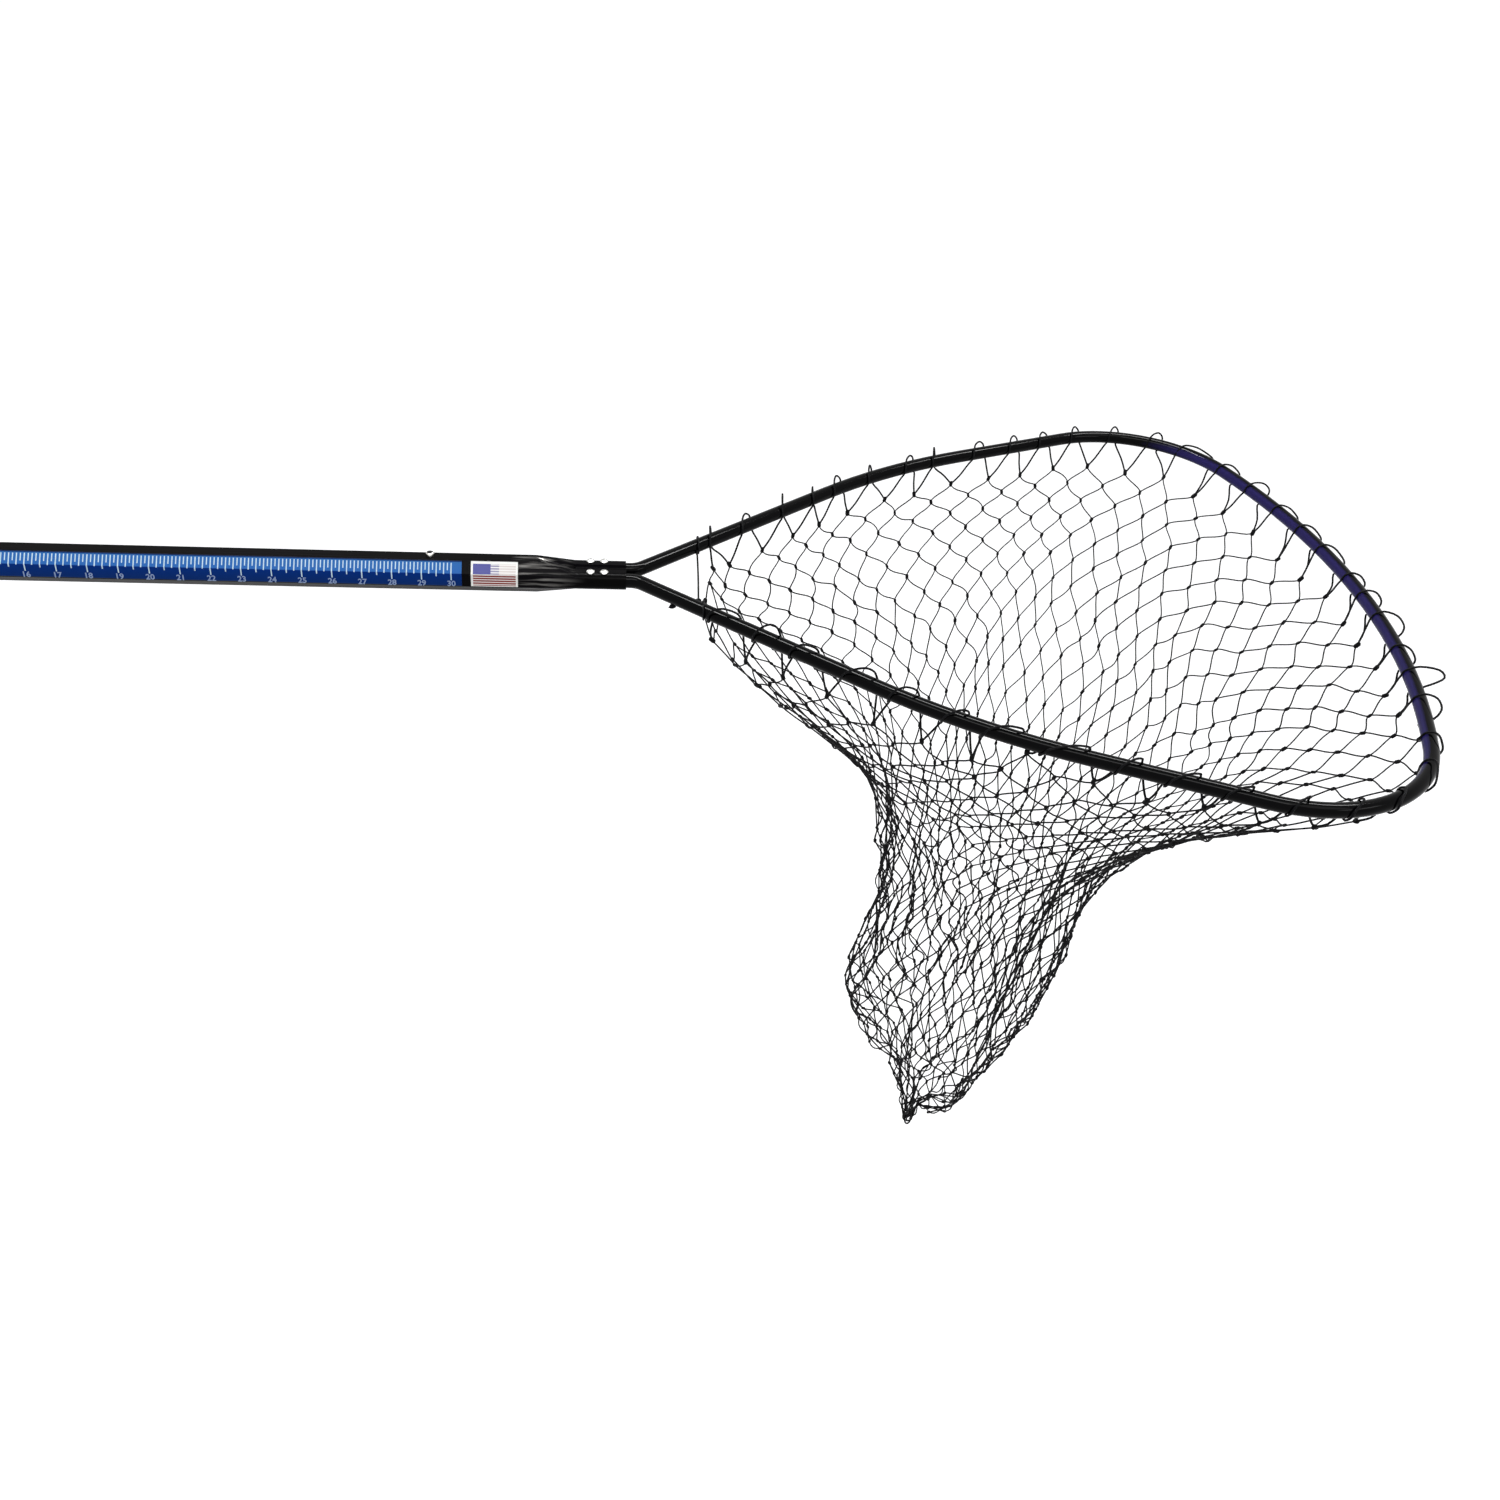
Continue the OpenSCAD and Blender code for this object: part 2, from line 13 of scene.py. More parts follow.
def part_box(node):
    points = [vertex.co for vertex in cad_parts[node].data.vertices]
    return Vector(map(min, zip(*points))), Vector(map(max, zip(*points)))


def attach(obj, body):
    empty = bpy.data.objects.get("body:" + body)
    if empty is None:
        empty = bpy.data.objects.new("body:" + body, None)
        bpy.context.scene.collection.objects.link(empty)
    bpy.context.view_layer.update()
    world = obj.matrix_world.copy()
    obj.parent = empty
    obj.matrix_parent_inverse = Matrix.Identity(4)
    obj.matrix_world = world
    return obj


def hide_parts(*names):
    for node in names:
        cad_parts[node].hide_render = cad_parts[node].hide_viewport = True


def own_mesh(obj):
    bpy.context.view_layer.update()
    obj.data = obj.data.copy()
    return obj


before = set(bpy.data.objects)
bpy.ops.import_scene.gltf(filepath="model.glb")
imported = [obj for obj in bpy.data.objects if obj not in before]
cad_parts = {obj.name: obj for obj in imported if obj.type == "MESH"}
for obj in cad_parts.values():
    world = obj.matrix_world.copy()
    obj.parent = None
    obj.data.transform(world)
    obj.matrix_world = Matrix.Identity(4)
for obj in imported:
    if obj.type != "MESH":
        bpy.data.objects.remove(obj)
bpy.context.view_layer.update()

logging.basicConfig(level=logging.INFO, format="%(message)s")
log = logging.getLogger("landing_net")

MM = 0.001
TURN = 2.0 * math.pi

# short names for types; a table is places, in order, and the values there
Tree = bpy.types.NodeTree
Socket = bpy.types.NodeSocket
Triple = tuple[float, float, float]
Table = tuple[tuple[float, ...], tuple[float, ...]]


# ---------------------------------------------------------------- helpers

def linear(hex_colour: str, alpha: float = 1.0) -> tuple[float, float, float, float]:
    """Turn an sRGB hex colour into linear values.

    Args:
        hex_colour: The colour as "#rrggbb".
        alpha: The fourth value of the result.

    Returns:
        Linear red, green, blue and alpha.
    """
    out = []
    for k in (1, 3, 5):
        c = int(hex_colour[k:k + 2], 16) / 255
        out.append(c / 12.92 if c <= 0.04045 else ((c + 0.055) / 1.055) ** 2.4)
    return (*out, alpha)


def plug(tree: Tree, node: bpy.types.Node, inputs: dict[Any, Any] | tuple[Any, ...]) -> None:
    """Set or link a node's inputs.

    Args:
        tree: The node tree that holds the node.
        node: The node.
        inputs: Values, outputs or nodes, by the input's name or number or in their order; a node
            gives its first output.
    """
    for key, value in (inputs if isinstance(inputs, dict) else dict(enumerate(inputs))).items():
        if isinstance(value, bpy.types.Node):
            value = value.outputs[0]
        if isinstance(value, bpy.types.NodeSocket):
            tree.links.new(value, node.inputs[key])
        else:
            node.inputs[key].default_value = value


def add_node(tree: Tree, kind: str, inputs: dict[Any, Any] | tuple[Any, ...] = (),
             stops: tuple[tuple[float, str], ...] = (), **settings: Any) -> bpy.types.Node:
    """Add a shader node with its settings, values and links.

    Args:
        tree: The node tree that gets the node.
        kind: The node's type name after "ShaderNode".
        inputs: What its inputs get, as plug() takes it.
        stops: Places and sRGB hex colours, where the node has a colour ramp.
        settings: Attributes of the node itself.

    Returns:
        The new node.
    """
    node = tree.nodes.new("ShaderNode" + kind)
    for key, value in settings.items():
        setattr(node, key, value)
    elements = node.color_ramp.elements if stops else ()
    while len(elements) < len(stops):
        elements.new(1.0)
    for element, (at, hex_colour) in zip(elements, stops):
        element.position = at
        element.color = linear(hex_colour)
    plug(tree, node, inputs)
    return node


def deselect() -> None:
    """Leave edit mode and deselect every object."""
    if bpy.context.object and bpy.context.object.mode != "OBJECT":
        bpy.ops.object.mode_set(mode="OBJECT")
    bpy.ops.object.select_all(action="DESELECT")


def pick_vertices(obj: bpy.types.Object, test: Callable[[Vector], bool]) -> None:
    """Select an edit-mode object's vertices by their place.

    Args:
        obj: The object, which is in edit mode.
        test: Says of a vertex's place whether the vertex is selected.
    """
    bpy.ops.object.mode_set(mode="OBJECT")
    for group in (obj.data.vertices, obj.data.edges, obj.data.polygons):
        group.foreach_set("select", [False] * len(group))
    for v in obj.data.vertices:
        v.select = bool(test(v.co))
    bpy.ops.object.mode_set(mode="EDIT")
    bpy.ops.mesh.select_mode(type="VERT")


def smooth_path(points: np.ndarray, per_span: int) -> np.ndarray:
    """Run a smooth curve through points.

    Args:
        points: The places that the curve passes, one row each.
        per_span: Steps between two neighbouring places.

    Returns:
        The curve's points, with the first and last place kept.
    """
    p = np.asarray(points, float)
    q = np.concatenate([[2 * p[0] - p[1]], p, [2 * p[-1] - p[-2]]])
    out = []
    for k in range(1, len(q) - 2):
        for t in np.arange(per_span) / per_span:
            a, b, c, d = q[k - 1], q[k], q[k + 1], q[k + 2]
            out.append(0.5 * (2 * b + (c - a) * t + (2 * a - 5 * b + 4 * c - d) * t * t
                              + (3 * b - a - 3 * c + d) * t ** 3))
    out.append(p[-1])
    return np.array(out)


def unit(v: np.ndarray) -> np.ndarray:
    """Scale vectors in the last axis to length one."""
    return v / np.maximum(np.linalg.norm(v, axis=-1, keepdims=True), 1e-12)


def read(table: Table, at: float) -> float:
    """Read a table of places and values at one place between them."""
    return float(np.interp(at, table[0], table[1]))


class CordMesh:
    """Collects lengths of twine and copies of a knot, and makes one mesh of them.

    Twine is swept here because netting has thousands of short bars of few faces each, which
    have to be placed by their own ends. Each strand carries a map named "strand": metres
    along the twine and turns round it, for the lay of its yarns.
    """

    def __init__(self) -> None:
        """Start with nothing collected."""
        self.places: list[np.ndarray] = []
        self.faces: list[np.ndarray] = []
        self.maps: list[np.ndarray] = []
        self.count = 0

    def strands(self, paths: np.ndarray, radius: float, sides: int = 6) -> None:
        """Sweep round twine along several paths of equally many points.

        Args:
            paths: Array of strands by points by three, in metres.
            radius: Half the twine's thickness.
            sides: Faces round the twine.
        """
        n, m, _ = paths.shape
        along = unit(np.gradient(paths, axis=1))
        # two sides across each strand, carried along it without a twist
        ref = np.where(np.abs(along[:, :1, 2:3]) > 0.9, [[[1.0, 0, 0]]], [[[0, 0, 1.0]]])
        u = np.empty_like(along)
        u[:, 0] = unit(np.cross(ref[:, 0], along[:, 0]))
        for k in range(1, m):
            carried = u[:, k - 1] - along[:, k] * (u[:, k - 1] * along[:, k]).sum(-1, keepdims=True)
            u[:, k] = unit(carried)
        v = np.cross(along, u)
        a = TURN * np.arange(sides) / sides
        ring = (np.cos(a)[:, None] * u[:, :, None] + np.sin(a)[:, None] * v[:, :, None]) * radius
        co = (paths[:, :, None] + ring).reshape(-1, 3)
        base = (np.arange(n) * m * sides)[:, None, None] + (np.arange(m - 1) * sides)[None, :, None]
        j = np.arange(sides)
        k = (j + 1) % sides
        quads = np.stack([base + j, base + k, base + k + sides, base + j + sides], -1).reshape(-1, 4)
        # the map: metres along and turns round at each face's corners
        step = np.linalg.norm(np.diff(paths, axis=1), axis=-1)
        run = np.concatenate([np.zeros((n, 1)), np.cumsum(step, 1)], 1)
        lo = np.broadcast_to(run[:, :-1, None], (n, m - 1, sides))
        hi = np.broadcast_to(run[:, 1:, None], (n, m - 1, sides))
        t0 = np.broadcast_to(j / sides, (n, m - 1, sides))
        t1 = t0 + 1 / sides
        uv = np.stack([np.stack([lo, t0], -1), np.stack([lo, t1], -1),
                       np.stack([hi, t1], -1), np.stack([hi, t0], -1)], 3).reshape(-1, 2)
        start = (np.arange(n) * m * sides)[:, None]
        caps = np.concatenate([start + j[::-1], start + (m - 1) * sides + j])
        self._keep(co, [quads, caps], [uv, np.zeros((caps.size, 2))])

    def copies(self, shape: "Shape", frames: np.ndarray) -> None:
        """Add copies of one small shape.

        Args:
            shape: The shape, modelled about the origin.
            frames: One 3 by 4 matrix for each copy.
        """
        n = len(frames)
        co = np.einsum("nij,vj->nvi", frames[:, :, :3], shape.places) + frames[:, None, :, 3]
        offset = (np.arange(n) * len(shape.places))[:, None, None]
        for faces in shape.faces:
            self.faces.append((faces[None] + offset + self.count).reshape(-1, faces.shape[1]))
            x, y, z = np.moveaxis(shape.places[faces], -1, 0)
            uv = np.stack([z, np.arctan2(y, x) / TURN], -1)
            self.maps.append(np.broadcast_to(uv, (n, *uv.shape)).reshape(-1, 2))
        self.places.append(co.reshape(-1, 3))
        self.count += n * len(shape.places)

    def _keep(self, co: np.ndarray, faces: list[np.ndarray], maps: list[np.ndarray]) -> None:
        """Store one batch.

        Args:
            co: Places, one row each.
            faces: Faces as rows of the batch's own vertex numbers.
            maps: Map coordinates of the faces' corners.
        """
        self.places.append(co)
        self.faces += [f + self.count for f in faces]
        self.maps += maps
        self.count += len(co)

    def build(self, name: str) -> bpy.types.Object:
        """Make the object, smooth shaded, with its place in its mesh.

        Args:
            name: The object's name.

        Returns:
            The object.
        """
        mesh = bpy.data.meshes.new(name)
        co = np.concatenate(self.places)
        loops = np.concatenate([f.ravel() for f in self.faces])
        sizes = np.concatenate([np.full(len(f), f.shape[1]) for f in self.faces])
        mesh.vertices.add(len(co))
        mesh.vertices.foreach_set("co", co.astype(np.float32).ravel())
        mesh.loops.add(len(loops))
        mesh.loops.foreach_set("vertex_index", loops.astype(np.int32))
        mesh.polygons.add(len(sizes))
        starts = np.concatenate([[0], np.cumsum(sizes)[:-1]])
        mesh.polygons.foreach_set("loop_start", starts.astype(np.int32))
        mesh.update(calc_edges=True)
        strand = np.concatenate(self.maps)
        mesh.uv_layers.new(name="strand")
        mesh.uv_layers["strand"].data.foreach_set("uv", strand.astype(np.float32).ravel())
        mesh.polygons.foreach_set("use_smooth", np.ones(len(sizes), bool))
        mesh.validate()
        obj = bpy.data.objects.new(name, mesh)
        bpy.context.scene.collection.objects.link(obj)
        return obj


@dataclass
class Shape:
    """A small mesh as arrays, for copying."""

    places: np.ndarray
    faces: list[np.ndarray]

    @classmethod
    def of(cls, obj: bpy.types.Object) -> "Shape":
        """Read an object's mesh and remove the object.

        Args:
            obj: The modelled object.

        Returns:
            Its mesh as arrays.
        """
        mesh = obj.data
        co = np.array([v.co for v in mesh.vertices])
        faces = []
        for size in sorted({len(p.vertices) for p in mesh.polygons}):
            faces.append(np.array([list(p.vertices) for p in mesh.polygons if len(p.vertices) == size]))
        bpy.data.objects.remove(obj)
        return cls(co, faces)


# ---------------------------------------------------------------- finishes

@dataclass(frozen=True)
class Finish:
    """One finish: its material's name and the shader values that are the same all over."""

    name: str
    colour: str
    roughness: float
    metallic: float = 0.0
    gloss: float = 0.5
    ior: float = 1.5
    # least and most roughness where it varies, as multiples of the finish's own
    uneven: tuple[float, float] = (0.7, 1.3)

    def make(self) -> bpy.types.Material:
        """Make the material.

        Returns:
            The material, with its pattern.
        """
        mat = bpy.data.materials.new(self.name)
        mat.use_nodes = True
        tree = mat.node_tree
        tree.nodes.clear()
        place = add_node(tree, "TexCoord").outputs["Object"]
        shader = add_node(tree, "BsdfPrincipled", {
            "Base Color": linear(self.colour), "Roughness": self.roughness,
            "Metallic": self.metallic, "Specular IOR Level": self.gloss, "IOR": self.ior})
        plug(tree, shader, self.pattern(tree, place))
        add_node(tree, "OutputMaterial", {"Surface": shader})
        return mat

    def pattern(self, tree: Tree, place: Socket) -> dict[str, Any]:
        """Give the shader's inputs that vary over the surface; an even finish has none.

        Args:
            tree: The material's node tree.
            place: Object coordinates, in metres.

        Returns:
            What to link, by the name of the shader's input.
        """
        return {}

    @property
    def gloss_span(self) -> dict[str, float]:
        """The least and the most roughness, as a Map Range node takes them."""
        return {"To Min": self.roughness * self.uneven[0], "To Max": self.roughness * self.uneven[1]}

    @staticmethod
    def grain(tree: Tree, place: Socket, size_mm: Triple, detail: float = 2.0) -> bpy.types.Node:
        """Add noise whose grains have a real size.

        Args:
            tree: The material's node tree.
            place: Object coordinates, in metres.
            size_mm: The grains' size along X, Y and Z, in millimetres.
            detail: How many finer layers the noise has.

        Returns:
            The noise, from 0 to 1.
        """
        scaled = add_node(tree, "Mapping", {"Vector": place, "Scale": tuple(1 / (MM * s) for s in size_mm)})
        return add_node(tree, "TexNoise", {"Vector": scaled, "Scale": 1.0, "Detail": detail})


@dataclass(frozen=True)
class AnodisedTube(Finish):
    """Drawn aluminium tube, black anodised.

    The die leaves long faint lines that run with the tube, so its gloss breaks into streaks,
    and the dye is a little browner or bluer from place to place. The flattened end has
    highlight streaks painted on as a pale metallic colour.
    """

    second_colour: str = "#0c0b0e"
    line_mm: Triple = (160.0, 1.1, 1.1)
    line_deep: float = 0.02 * MM
    dye_mm: Triple = (90.0, 30.0, 30.0)
    # painted highlight streaks on the flattened end, pale metallic where its folds catch the light: where
    # they start, are full and end, their size, the noise between which they fade in, and how metallic they
    # are
    pressed_x: Triple = (0.992, 1.006, 1.06)
    pressed_mm: Triple = (60.0, 3.6, 3.6)
    pressed_fade: tuple[float, float] = (0.5, 0.72)
    pressed_metal: float = 0.6
    bare: str = "#a3a19d"

    def pattern(self, tree: Tree, place: Socket) -> dict[str, Any]:
        """Add die lines, the dye's drift and painted highlight streaks on the flattened end.

        Args:
            tree: The material's node tree.
            place: Object coordinates, in metres.

        Returns:
            What to link, by the name of the shader's input.
        """
        lines = self.grain(tree, place, self.line_mm, 3.0)
        x = add_node(tree, "SeparateXYZ", (place,)).outputs[0]
        # painted highlight streaks: a pale metallic colour on the flattened end, where its folds catch the
        # light
        start, full, end = self.pressed_x
        rise, fall = (add_node(tree, "MapRange", {"Value": x, "From Min": none, "From Max": full},
                               interpolation_type="SMOOTHSTEP") for none in (start, end))
        pressed = add_node(tree, "Math", (rise, fall), operation="MULTIPLY")
        streaks = add_node(tree, "MapRange", {
            "Value": self.grain(tree, place, self.pressed_mm),
            "From Min": self.pressed_fade[0], "From Max": self.pressed_fade[1]})
        bright = add_node(tree, "Math", (pressed, streaks), operation="MULTIPLY")
        metal = add_node(tree, "Math", (bright, self.pressed_metal), operation="MULTIPLY")
        cloud = self.grain(tree, place, self.dye_mm)
        dye = add_node(tree, "ValToRGB", (cloud,), ((0.35, self.colour), (0.65, self.second_colour)))
        mixed = add_node(tree, "Mix", {0: metal, 6: dye, 7: linear(self.bare)}, data_type="RGBA")
        return {"Metallic": metal, "Base Color": mixed.outputs[2],
                "Roughness": add_node(tree, "MapRange", {"Value": lines, **self.gloss_span}),
                "Normal": add_node(tree, "Bump", {"Height": lines, "Distance": self.line_deep})}


@dataclass(frozen=True)
class EnamelledHoop(Finish):
    """Aluminium tube in black stoving enamel.

    Sprayed and baked, so it is glossy with a faint orange peel of a few millimetres, and it is
    rubbed slightly duller in patches. A violet sheen is painted on the bow's inner side, for the light it
    reflects there.
    """

    uneven: tuple[float, float] = (0.7, 1.5)
    peel_mm: Triple = (4.0, 4.0, 4.0)
    peel_deep: float = 0.0015 * MM
    rubbed_mm: Triple = (45.0, 45.0, 45.0)
    # a violet sheen painted on the bow's inner side, for the light it reflects there: its colour, and where
    # along X and over which facing it sets in
    cast: str = "#2c2660"
    cast_x: tuple[float, float] = (1.50, 1.74)
    cast_facing: tuple[float, float] = (-0.3, -0.95)

    def pattern(self, tree: Tree, place: Socket) -> dict[str, Any]:
        """Add orange peel, rubbed patches and the painted violet sheen.

        Args:
            tree: The material's node tree.
            place: Object coordinates, in metres.

        Returns:
            What to link, by the name of the shader's input.
        """
        peel = self.grain(tree, place, self.peel_mm)
        rubbed = self.grain(tree, place, self.rubbed_mm, 4.0)
        facing = add_node(tree, "TexCoord").outputs["Normal"]
        along, inner = (add_node(tree, "MapRange", {
            "Value": add_node(tree, "SeparateXYZ", (vector,)), "From Min": none, "From Max": full})
            for vector, (none, full) in ((place, self.cast_x), (facing, self.cast_facing)))
        # paint the violet sheen where the bow's surface faces inwards
        violet = add_node(tree, "Math", (along, inner), operation="MULTIPLY")
        return {"Roughness": add_node(tree, "MapRange", {"Value": rubbed, **self.gloss_span}),
                "Base Color": add_node(tree, "ValToRGB", (violet,), ((0.05, self.colour), (0.6, self.cast))),
                "Normal": add_node(tree, "Bump", {"Height": peel, "Distance": self.peel_deep})}


@dataclass(frozen=True)
class PlatedSteel(Finish):
    """Zinc or nickel plated steel, tumbled, so it is bright with a fine uneven haze."""

    uneven: tuple[float, float] = (0.7, 1.4)
    haze_mm: Triple = (0.8, 0.8, 0.8)
    haze_deep: float = 0.01 * MM

    def pattern(self, tree: Tree, place: Socket) -> dict[str, Any]:
        """Add the plating's haze.

        Args:
            tree: The material's node tree.
            place: Object coordinates, in metres.

        Returns:
            What to link, by the name of the shader's input.
        """
        haze = self.grain(tree, place, self.haze_mm, 3.0)
        return {"Roughness": add_node(tree, "MapRange", {"Value": haze, **self.gloss_span}),
                "Normal": add_node(tree, "Bump", {"Height": haze, "Distance": self.haze_deep})}


@dataclass(frozen=True)
class DrawnButton(PlatedSteel):
    """Nickel plated button drawn from sheet, with a dark reflection painted on the middle of its crown."""

    axis_x: float = 0.923
    top_z: float = 19.1 * MM
    hollow_r: float = 2.7 * MM
    # the crown's skin that the painted dark reflection covers
    hollow_skin: float = 0.4 * MM
    hollow: str = "#1c1c20"

    def pattern(self, tree: Tree, place: Socket) -> dict[str, Any]:
        """Add the haze and paint a dark reflection on the crown's middle.

        Args:
            tree: The material's node tree.
            place: Object coordinates, in metres.

        Returns:
            What to link, by the name of the shader's input.
        """
        x, y, z = add_node(tree, "SeparateXYZ", (place,)).outputs
        dx = add_node(tree, "Math", (x, self.axis_x), operation="SUBTRACT")
        dx2, dy2 = (add_node(tree, "Math", (off, off), operation="MULTIPLY") for off in (dx, y))
        r2 = add_node(tree, "Math", (dx2, dy2), operation="ADD")
        near = add_node(tree, "Math", (r2, self.hollow_r ** 2), operation="LESS_THAN")
        high = add_node(tree, "Math", (z, self.top_z - self.hollow_skin), operation="GREATER_THAN")
        # a dark reflection painted on the crown's middle, inside the given radius and near its top
        dark = add_node(tree, "Math", (near, high), operation="MULTIPLY")
        return super().pattern(tree, place) | {
            "Base Color": add_node(tree, "ValToRGB", (dark,), ((0.0, self.colour), (1.0, self.hollow)))}


@dataclass(frozen=True)
class MouldedPlastic(Finish):
    """Black nylon or ABS, moulded with a fine spark-eroded texture that dulls its gloss."""

    uneven: tuple[float, float] = (0.85, 1.15)
    second_colour: str = "#1a1a1c"
    texture_mm: Triple = (0.35, 0.35, 0.35)
    texture_deep: float = 0.05 * MM
    flow_mm: Triple = (14.0, 14.0, 14.0)

    def pattern(self, tree: Tree, place: Socket) -> dict[str, Any]:
        """Add the mould's texture and the melt's flow.

        Args:
            tree: The material's node tree.
            place: Object coordinates, in metres.

        Returns:
            What to link, by the name of the shader's input.
        """
        texture = self.grain(tree, place, self.texture_mm)
        flow = self.grain(tree, place, self.flow_mm)
        tint = add_node(tree, "ValToRGB", (flow,), ((0.3, self.colour), (0.7, self.second_colour)))
        return {"Base Color": tint,
                "Roughness": add_node(tree, "MapRange", {"Value": texture, **self.gloss_span}),
                "Normal": add_node(tree, "Bump", {"Height": texture, "Distance": self.texture_deep})}


@dataclass(frozen=True)
class FoamGrip(Finish):
    """EVA foam tube, ground to size, so the cut cells leave a matt skin of small pits."""

    cell_mm: float = 0.7
    cell_deep: float = 0.15 * MM
    worn_mm: Triple = (25.0, 12.0, 12.0)
    # how much the cells and the wear lighten it
    pit_tint: float = 0.5
    worn_tint: float = 0.6
    dust: str = "#292a2e"

    def pattern(self, tree: Tree, place: Socket) -> dict[str, Any]:
        """Add open cells and the lighter dust in them.

        Args:
            tree: The material's node tree.
            place: Object coordinates, in metres.

        Returns:
            What to link, by the name of the shader's input.
        """
        scale = 1 / (self.cell_mm * MM)
        cells = add_node(tree, "TexVoronoi", {"Vector": place, "Scale": scale}, feature="F1")
        worn = self.grain(tree, place, self.worn_mm, 4.0)
        pits, marks = (add_node(tree, "Math", pair, operation="MULTIPLY")
                       for pair in ((cells, self.pit_tint), (worn, self.worn_tint)))
        tint = add_node(tree, "Math", (pits, marks), operation="ADD")
        return {"Base Color": add_node(tree, "ValToRGB", (tint,), ((0.25, self.colour), (0.85, self.dust))),
                "Normal": add_node(tree, "Bump", {"Height": cells, "Distance": self.cell_deep})}


@dataclass(frozen=True)
class LaidTwine(Finish):
    """Black nylon twine, three yarns laid together and tarred, so it is dull with small glints.

    The lay of thin twine is under a millimetre; it is drawn at least two millimetres long so
    that it shows.
    """

    lay_mm: float = 2.4
    lay_deep: float = 0.12 * MM
    yarns: int = 3
    fleck_mm: Triple = (6.0, 6.0, 6.0)
    second_colour: str = "#101013"

    def pattern(self, tree: Tree, place: Socket) -> dict[str, Any]:
        """Add the lay of the yarns along the strand's own map.

        Args:
            tree: The material's node tree.
            place: Object coordinates, in metres.

        Returns:
            What to link, by the name of the shader's input.
        """
        strand = add_node(tree, "UVMap", uv_map="strand")
        along, round_it, _ = add_node(tree, "SeparateXYZ", (strand,)).outputs
        run = add_node(tree, "Math", (along, TURN / (self.lay_mm * MM)), operation="MULTIPLY")
        turn = add_node(tree, "Math", (round_it, TURN * self.yarns), operation="MULTIPLY")
        phase = add_node(tree, "Math", (run, turn), operation="ADD")
        wave = add_node(tree, "Math", (phase,), operation="SINE")
        height = add_node(tree, "Math", (wave,), operation="ABSOLUTE")
        fleck = self.grain(tree, place, self.fleck_mm)
        yarn, spots = (add_node(tree, "Math", (value, 0.5), operation="MULTIPLY")
                       for value in (height, fleck))
        both = add_node(tree, "Math", (yarn, spots), operation="ADD")
        tint = add_node(tree, "ValToRGB", (both,), ((0.3, self.colour), (0.9, self.second_colour)))
        return {"Base Color": tint,
                "Normal": add_node(tree, "Bump", {"Height": height, "Distance": self.lay_deep})}


@dataclass(frozen=True)
class TubeFaces:
    """The two faces of the octagonal tube that carry film, as one width measured down from the top edge."""

    half_flat: float = 15.1 * MM
    half_side: float = 6.255 * MM

    @property
    def face(self) -> float:
        """Width of one face."""
        return 2 * self.half_side

    def down(self, tree: Tree, place: Socket) -> bpy.types.Node:
        """Measure down the film, over the sloping face and then the upright one.

        Args:
            tree: The material's node tree.
            place: Object coordinates, in metres.

        Returns:
            Metres from the film's top edge.
        """
        z = add_node(tree, "SeparateXYZ", (place,)).outputs[2]
        fallen = add_node(tree, "Math", (self.half_flat, z), operation="SUBTRACT")
        slope = add_node(tree, "Math", (fallen, math.sqrt(2)), operation="MULTIPLY")
        below = add_node(tree, "Math", (self.half_side, z), operation="SUBTRACT")
        upright = add_node(tree, "Math", (below, self.face), operation="ADD")
        held = add_node(tree, "Math", (upright, self.face), operation="MAXIMUM")
        return add_node(tree, "Math", (slope, held), operation="MINIMUM")


@dataclass(frozen=True)
class InchScale:
    """The ruler's scale: where its last line stands along X, and how many inches it counts."""

    last_mark: float = 0.9416
    inches: int = 30
    inch: float = 25.4 * MM


